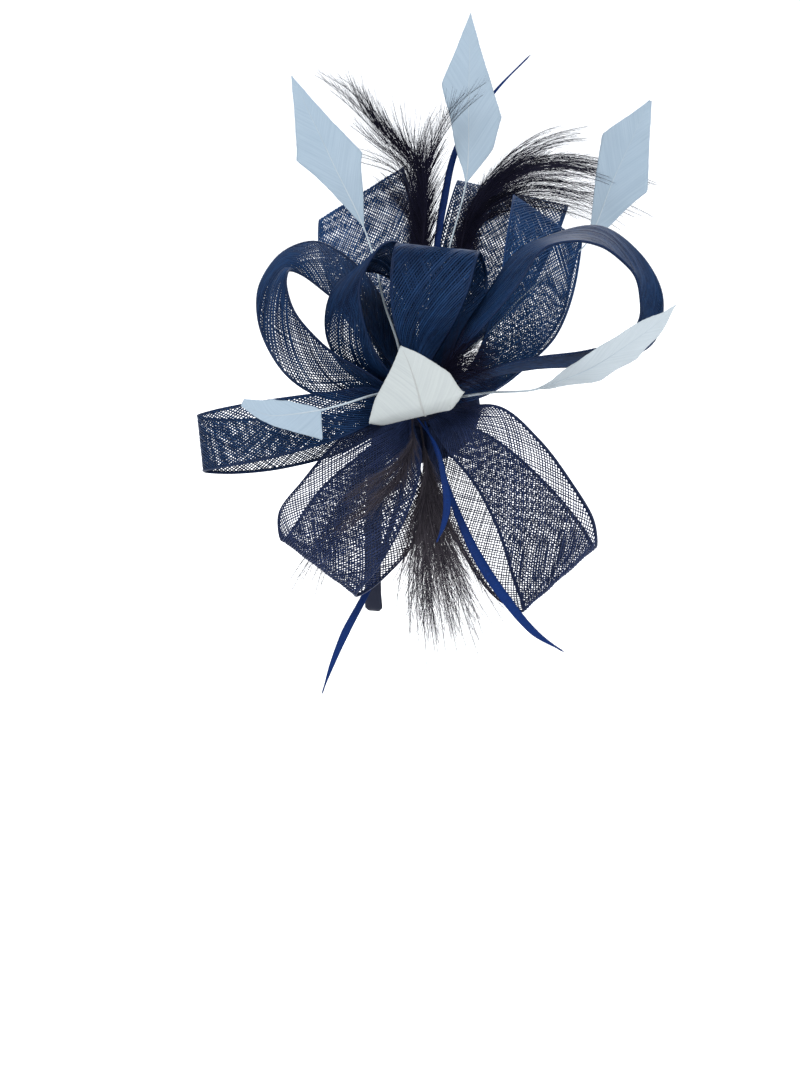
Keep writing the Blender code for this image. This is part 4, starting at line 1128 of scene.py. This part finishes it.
hackleLook = {
    "spineStep": 0.00082, "spineRadius": 0.00048, "barbShare": 0.0060, "bend": 0.11,
    "lengthSpread": 0.30, "lean": 11.0, "leanJitter": 3.0, "liftJitter": 0.28,
    "longShare": 0.35, "shortReach": 0.60, "stretch": 1.90, "bareShare": 0.35, "softLean": 8.0,
    "drift": 0.0007, "outerShorter": 0.10, "shorterSpread": 0.06, "fineRows": 200,
    "leastPoints": 12, "barbsIn": 0.12, "swellFrom": 0.30, "swellSpan": 0.68,
    "swellPower": 0.7, "spineTaper": 0.85, "sideSpine": 0.8, "standoff": 0.0002,
}
# each hackle's dark tone at the barb roots, and its light tone towards the tips, where a sheen is
# painted
hackleColors = {
    "dark": {"dark": (0.0025, 0.0022, 0.0070), "light": (0.009, 0.009, 0.024), "patch": 45.0,
             "roughness": 0.60, "gloss": 0.05},
    "soft": {"dark": (0.010, 0.009, 0.015), "light": (0.085, 0.075, 0.088), "patch": 45.0,
             "roughness": 0.65, "gloss": 0.05},
}
# for each lock: how far its barbs reach to the left and right, its strands, and how far they fan
barbReach = {
    "hackle_upper_left": [(0.006, 0.019, 6, 0.004), (0.006, 0.016, 5, 0.003),
                          (0.006, 0.010, 4, 0.003), (0.009, 0.011, 5, 0.003)],
    "hackle_upper_middle": [(0.015, 0.005, 4, 0.003), (0.013, 0.006, 4, 0.003)],
    "hackle_right": [(0.016, 0.010, 6, 0.006), (0.017, 0.008, 4, 0.005), (0.009, 0.009, 4, 0.005),
                     (0.012, 0.011, 5, 0.007), (0.010, 0.010, 4, 0.006)],
    "hackle_lower_front": [(0.008, 0.008, 5, 0.002), (0.008, 0.008, 4, 0.002)],
    "hackle_lower_back": [(0.010, 0.012, 3, 0.003), (0.010, 0.012, 3, 0.003)],
    "hackle_lower_middle": [(0.013, 0.013, 5, 0.006), (0.013, 0.013, 5, 0.006),
                            (0.013, 0.013, 5, 0.006), (0.011, 0.012, 4, 0.006),
                            (0.012, 0.011, 3, 0.005)],
    "hackle_centre_tuft": [(0.010, 0.010, 7, 0.005), (0.012, 0.011, 7, 0.006),
                           (0.008, 0.009, 6, 0.005)],
}


def makeSpray(node, start, spray, seed, material, leaning):
    look = hackleLook
    chance = np.random.default_rng(seed)
    parting = sharePoint(spray["parting"])
    lines, acrosses, lefts, rights, thick, tones, edges = [], [], [], [], [], [], []
    count = 0
    for (across, places), (left, right, strands, spread) in zip(
            spray["locks"], barbReach[node]):
        direction = np.array(sprayDirection(*across))
        for strand in range(strands):
            offset = (strand - (strands - 1) / 2) / max(1, strands - 1)
            rows = [[*start], [*start.lerp(parting, 0.5)], [*parting]]
            for index, place in enumerate(places):
                fan = offset * spread * (index + 1) / len(places)
                drift = chance.normal(0, look["drift"], 3) * (index + 1) / len(places)
                rows.append([*(np.array(sharePoint(place)) + direction * fan * 2 + drift)])
            shorter = 1.0 - look["outerShorter"] * abs(offset) - chance.uniform(
                0.0, look["shorterSpread"])
            fine = smoothRows(rows, look["fineRows"])[:int(look["fineRows"] * shorter)]
            length = np.linalg.norm(np.diff(fine, axis=0), axis=1).sum()
            line = smoothRows(fine, max(look["leastPoints"], int(length / look["spineStep"])))
            part = np.linspace(0.0, 1.0, len(line))
            bare = (np.linalg.norm(np.array(parting) - np.array(start)) / length
                    * look["bareShare"])
            swell = np.clip(look["swellFrom"] + look["swellSpan"] * part, 0, 1)
            reach = (np.clip((part - bare) / look["barbsIn"], 0.0, 1.0)
                     * np.sin(pi * swell) ** look["swellPower"])
            lines.append(line)
            acrosses.append(np.tile(direction, (len(line), 1)))
            for side, table in ((left, lefts), (right, rights)):
                isLong = chance.random(len(line)) < look["longShare"]
                size = side * look["stretch"] * reach
                table.append(size * np.where(isLong, 1.0, look["shortReach"]))
            thick.append((1.0 - look["spineTaper"] * part)
                         * (look["sideSpine"] if strand else 1.0))
            tones.append(np.full(len(line), chance.uniform(0.0, 1.0)))
            edges += [(count + i, count + i + 1) for i in range(len(line) - 1)]
            count += len(line)
    line = np.concatenate(lines)
    tangent = np.concatenate([unit(np.gradient(one, axis=0)) for one in lines])
    across, face = squareTo(tangent, np.concatenate(acrosses))
    obj = meshObject(node + "_barbs", line, [], edges)
    giveAttribute(obj, "face", "FLOAT_VECTOR", face)
    giveAttribute(obj, "thick", "FLOAT", np.concatenate(thick))
    giveAttribute(obj, "tone", "FLOAT", np.concatenate(tones))
    for side, name, reach in ((-1.0, "Left", lefts), (1.0, "Right", rights)):
        lean = np.radians(chance.normal(leaning, look["leanJitter"], len(line)))
        lift = chance.normal(0.0, look["liftJitter"], len(line))
        aim = (tangent * np.cos(lean)[:, None] + across * (side * np.sin(lean))[:, None]
               + face * (lift * np.sin(lean))[:, None])
        giveAttribute(obj, "aim" + name, "FLOAT_VECTOR", unit(aim))
        giveAttribute(obj, "reach" + name, "FLOAT", np.concatenate(reach))
    runTree(obj, hackleBarbs, {
        "Spine Radius": look["spineRadius"], "Barb Share": look["barbShare"],
        "Bend": look["bend"], "Length Spread": look["lengthSpread"], "Seed": seed,
        "Material": material})
    keep(obj, node)


darkBarbs = barbMaterial("darkBarbs", hackleColors["dark"])
softBarbs = barbMaterial("softBarbs", hackleColors["soft"])
for index, (name, spray) in enumerate(sprays.items()):
    soft = name.startswith("hackle_lower")
    makeSpray(name, knotPlace(*spray["root"], standoff=hackleLook["standoff"]), spray,
              seeds["spray"] + index, softBarbs if soft else darkBarbs,
              hackleLook["softLean" if soft else "lean"])
tuftStart = sprayPoint(0.004, 0.0, knot["height"] + seatGap + 0.0008)
makeSpray(tuft["name"], tuftStart, tuft, seeds["tuft"], darkBarbs, hackleLook["lean"])
print("hackle sprays dressed:", len(sprays) + 1)


# Knot, pad and headband

bindingLook = {
    "coreShare": 0.94, "threadRadius": 0.00040, "pitch": 0.00078, "crossings": 9, "sides": 5,
    "steps": 48, "chamfer": 0.001, "topInset": 0.0004, "eye": 0.0015, "wrapPoints": 40,
    "wobbleRate": 0.37, "wobble": 0.0002, "wrapLift": 0.00005, "wrapStart": 0.0009,
    "angleJitter": 0.05, "shift": 0.002, "crossingPoints": 25, "crossingReach": 0.97,
    "crossingSink": 0.0005, "shoulderDrop": 0.0034, "shoulderFrom": 0.62,
}
padLook = {
    "stitches": 34, "stitchLength": 0.0022, "inset": 0.0022, "threadRadius": 0.00022,
    "sides": 5, "steps": 72, "eye": 0.0008, "rim": 0.0012, "bevel": 0.0003, "bevelRise": 0.0007,
    "sideRise": 0.0015, "rings": 12, "stitchPoints": 7, "stitchRise": 0.00025,
    "stitchDip": 0.0006, "stitchTone": 0.4,
}
bandLook = {
    "rows": 220, "ring": 16, "wrinkle": 0.00012, "tipWidth": 0.62, "tipWidthReach": 0.012,
    "tipThickness": 0.45, "tipThicknessReach": 0.008, "squareWidth": 0.55,
    "squareHeight": 0.45, "plainFold": 0.4, "foldRate": 1.9, "foldSkew": 3,
}


def turnedSolid(name, profile, steps):
    turns = np.linspace(0.0, 2 * pi, steps, endpoint=False)
    return loft(name, np.array([
        [tuple(sprayPoint(radius * cos(turn), radius * sin(turn), height)) for turn in turns]
        for radius, height in profile]))


def makeKnot():
    look = bindingLook
    core = knot["radius"] * look["coreShare"]
    top = knot["height"] - knot["round"]
    profile = [(core - look["chamfer"], seatGap), (core, seatGap + look["chamfer"]), (core, top)]
    profile += [(core - knot["round"] * (1 - cos(t)),
                 top + (knot["round"] - look["topInset"]) * sin(t))
                for t in (radians(15.0 * step) for step in range(1, 7))]
    profile.append((look["eye"], knot["height"] - look["topInset"]))
    body = turnedSolid("knot_core", profile, look["steps"])
    body.data.materials.append(bindingCloth)
    keep(body, "knot")
    chance = np.random.default_rng(seeds["knot"])
    wraps = int((top - look["chamfer"]) / look["pitch"])
    part = np.linspace(0.0, 1.0, wraps * look["wrapPoints"])
    turn = part * wraps * 2 * pi
    wobble = np.sin(turn * look["wobbleRate"]) * look["wobble"]
    outer = core + look["wrapLift"]
    lines = [np.array([
        sprayPoint(outer * cos(t), outer * sin(t),
                   look["wrapStart"] + (top - look["wrapStart"]) * p + w)
        for t, p, w in zip(turn, part, wobble)])]
    for index in range(look["crossings"]):
        angle = pi * index / look["crossings"] + chance.normal(0, look["angleJitter"])
        shift = chance.uniform(-look["shift"], look["shift"])
        places = []
        for s in np.linspace(-1.0, 1.0, look["crossingPoints"]):
            reach = core * look["crossingReach"] * s
            over = max(0.0, abs(s) - look["shoulderFrom"]) / (1.0 - look["shoulderFrom"])
            rise = knot["height"] - look["crossingSink"] - look["shoulderDrop"] * over ** 1.5
            bow = shift * (1 - s * s)
            places.append(sprayPoint(reach * cos(angle) - bow * sin(angle),
                                     reach * sin(angle) + bow * cos(angle), rise))
        lines.append(np.array(places))
    threads = plainThreads(
        "knot_threads", lines, [np.ones(len(line)) for line in lines],
        [np.full(len(line), chance.uniform(0, 1)) for line in lines], look["threadRadius"],
        look["sides"], bindingThread)
    keep(threads, "knot")


def domeHeight(sphere, radius):
    return (sphere ** 2 - radius ** 2) ** 0.5 - pad["crownRadius"]


def makePad():
    look = padLook
    edge = pad["radius"]
    outer = pad["crownRadius"]
    inner = outer - pad["thickness"]
    rim, low = edge - look["rim"], domeHeight(inner, edge)
    profile = [(r, domeHeight(inner, r)) for r in (look["eye"], edge * 0.5, rim)]
    profile += [(edge - look["bevel"], low + look["bevelRise"]), (edge, low + look["sideRise"]),
                (edge - look["bevel"], domeHeight(outer, edge) - look["bevelRise"])]
    profile += [(r, domeHeight(outer, r)) for r in np.linspace(rim, look["eye"], look["rings"])]
    disc = turnedSolid("base_pad_felt", profile, look["steps"])
    disc.data.materials.append(felt)
    keep(disc, "base_pad")
    reach = edge - look["inset"]
    half = look["stitchLength"] / 2 / reach
    lines = []
    for index in range(look["stitches"]):
        middle = 2 * pi * index / look["stitches"]
        lines.append(np.array([
            sprayPoint(reach * cos(middle + half * s), reach * sin(middle + half * s),
                       domeHeight(outer, reach) + look["stitchRise"] - look["stitchDip"] * s ** 4)
            for s in np.linspace(-1.0, 1.0, look["stitchPoints"])]))
    stitches = plainThreads(
        "base_pad_stitches", lines, [np.ones(len(line)) for line in lines],
        [np.full(len(line), look["stitchTone"]) for line in lines], look["threadRadius"],
        look["sides"], bindingThread)
    keep(stitches, "base_pad")


def tipShare(fromEnd, least, reach):
    # grows from a least share at the band's tip to all of it a little way in
    return min(1.0, least + (1.0 - least) * (fromEnd / reach) ** 0.5)


def makeBand():
    # satin pulled over the springy core: rounded edges, drawn folds towards each end
    look = bandLook
    rings = []
    for angle in np.linspace(-band["sweep"], band["sweep"], look["rows"]):
        normal = bandNormal(angle)
        middle = bandPoint(angle) + normal * band["thickness"] / 2
        fromEnd = (band["sweep"] - abs(angle)) / band["sweep"]
        flare = max(0.0, 1.0 - fromEnd / band["flareShare"])
        half = (band["width"] + (band["endWidth"] - band["width"]) * flare) / 2
        half *= tipShare(fromEnd, look["tipWidth"], look["tipWidthReach"])
        thick = band["thickness"] / 2 * tipShare(
            fromEnd, look["tipThickness"], look["tipThicknessReach"])
        ring = []
        for turn in np.linspace(0.0, 2 * pi, look["ring"], endpoint=False):
            wide = np.sign(cos(turn)) * abs(cos(turn)) ** look["squareWidth"]
            high = np.sign(sin(turn)) * abs(sin(turn)) ** look["squareHeight"]
            fold = (look["wrinkle"] * (look["plainFold"] + flare)
                    * sin(angle * look["foldRate"] + look["foldSkew"] * wide) * wide)
            ring.append(tuple(
                middle + Vector((half * wide, 0.0, 0.0)) + normal * (thick * high + fold)))
        rings.append(ring)
    cover = loft("headband_satin", np.array(rings))
    cover.data.materials.append(satin)
    keep(cover, "headband")


satin = clothMaterial("navySatin", {
    "dark": (0.003, 0.004, 0.012), "light": (0.008, 0.012, 0.030), "patch": 40.0,
    "pitch": 0.012, "slub": 2.0, "relief": 0.15, "roughness": 0.42, "gloss": 0.12})
felt = clothMaterial("navyFelt", {
    "dark": (0.006, 0.010, 0.028), "light": (0.018, 0.028, 0.065), "patch": 220.0,
    "pitch": 0.004, "slub": 8.0, "relief": 0.6, "roughness": 0.95, "gloss": 0.12,
    "sheen": 0.05})
bindingCloth = clothMaterial("bindingCloth", {
    "dark": (0.004, 0.005, 0.014), "light": (0.012, 0.016, 0.034), "patch": 90.0,
    "pitch": 0.005, "slub": 3.0, "relief": 0.4, "roughness": 0.8, "gloss": 0.12})
bindingThread = threadMaterial("bindingThread", {
    "dark": (0.006, 0.008, 0.020), "light": (0.022, 0.028, 0.060), "patch": 120.0,
    "roughness": 0.60, "gloss": 0.1})
makeKnot()
makePad()
makeBand()
print("knot, pad and headband covered")


# Floor, light and camera

stageLook = {
    "floor": -0.20, "width": 6.0, "near": -3.0, "far": 1.6, "bend": 1.2, "high": 4.5,
    "dark": (0.93 * 0.99, 0.93 * 0.99, 0.93 * 0.99), "light": (0.93, 0.93, 0.93),
    "patch": 3.0, "roughness": 0.9, "glow": 0.25,
}


def makeStage():
    look, bend = stageLook, stageLook["bend"]
    line = [(look["near"], look["floor"])]
    for turn in np.linspace(0.0, pi / 2, 17):
        line.append((look["far"] + bend * sin(turn), look["floor"] + bend * (1 - cos(turn))))
    line.append((look["far"] + bend, look["high"]))
    half = look["width"] / 2
    points = [(x, y, z) for y, z in line for x in (-half, half)]
    faces = [(2 * i, 2 * i + 1, 2 * i + 3, 2 * i + 2) for i in range(len(line) - 1)]
    backdrop = meshObject("backdrop", points, faces)
    backdrop.data.shade_smooth()
    material, tree, shader = newMaterial("paleBackdrop")
    paintShader(tree, shader, look, 0.0)
    shader.inputs["Emission Color"].default_value = (1.0, 1.0, 1.0, 1.0)
    shader.inputs["Emission Strength"].default_value = look["glow"]
    backdrop.data.materials.append(material)


lights = {
    "keyLight": {"place": (-0.55, -0.75, 0.85), "size": 0.9, "power": 11.0},
    "fillLight": {"place": (0.85, -0.55, 0.35), "size": 1.1, "power": 6.0},
    "backLight": {"place": (0.15, 0.75, 0.80), "size": 0.8, "power": 8.0},
}
room = {"target": (0.0, -0.05, 0.0), "color": (0.90, 0.94, 1.0, 1.0), "strength": 0.95}


def makeLights():
    target = Vector(room["target"])
    for name, light in lights.items():
        data = bpy.data.lights.new(name, "AREA")
        data.shape = "DISK"
        data.size = light["size"]
        data.energy = light["power"]
        obj = bpy.data.objects.new(name, data)
        obj.location = light["place"]
        obj.rotation_euler = (target - Vector(light["place"])).to_track_quat("-Z", "Y").to_euler()
        bpy.context.scene.collection.objects.link(obj)
    world = bpy.data.worlds.new("softRoom")
    world.use_nodes = True
    background = world.node_tree.nodes["Background"]
    background.inputs["Color"].default_value = room["color"]
    background.inputs["Strength"].default_value = room["strength"]
    bpy.context.scene.world = world
    bpy.context.scene.view_settings.view_transform = "Standard"


photo = {"height": 1067, "focalPixels": 801.0}
view = {"right": -0.005, "toward": 0.370, "up": 0.060, "azimuth": 12.0, "down": 24.5}


def makeCamera():
    data = bpy.data.cameras.new("photoView")
    data.sensor_width = 36.0
    data.lens = photo["focalPixels"] / photo["height"] * data.sensor_width
    camera = bpy.data.objects.new("photoView", data)
    turn = radians(view["azimuth"])
    camera.location = (view["right"] * cos(turn) + view["toward"] * sin(turn),
                       view["right"] * sin(turn) - view["toward"] * cos(turn), view["up"])
    camera.rotation_euler = (radians(90.0 - view["down"]), 0.0, turn)
    data.clip_start = 0.01
    data.clip_end = 50.0
    bpy.context.scene.collection.objects.link(camera)
    bpy.context.scene.camera = camera


makeStage()
makeLights()
makeCamera()
print("stage, lights and camera set")
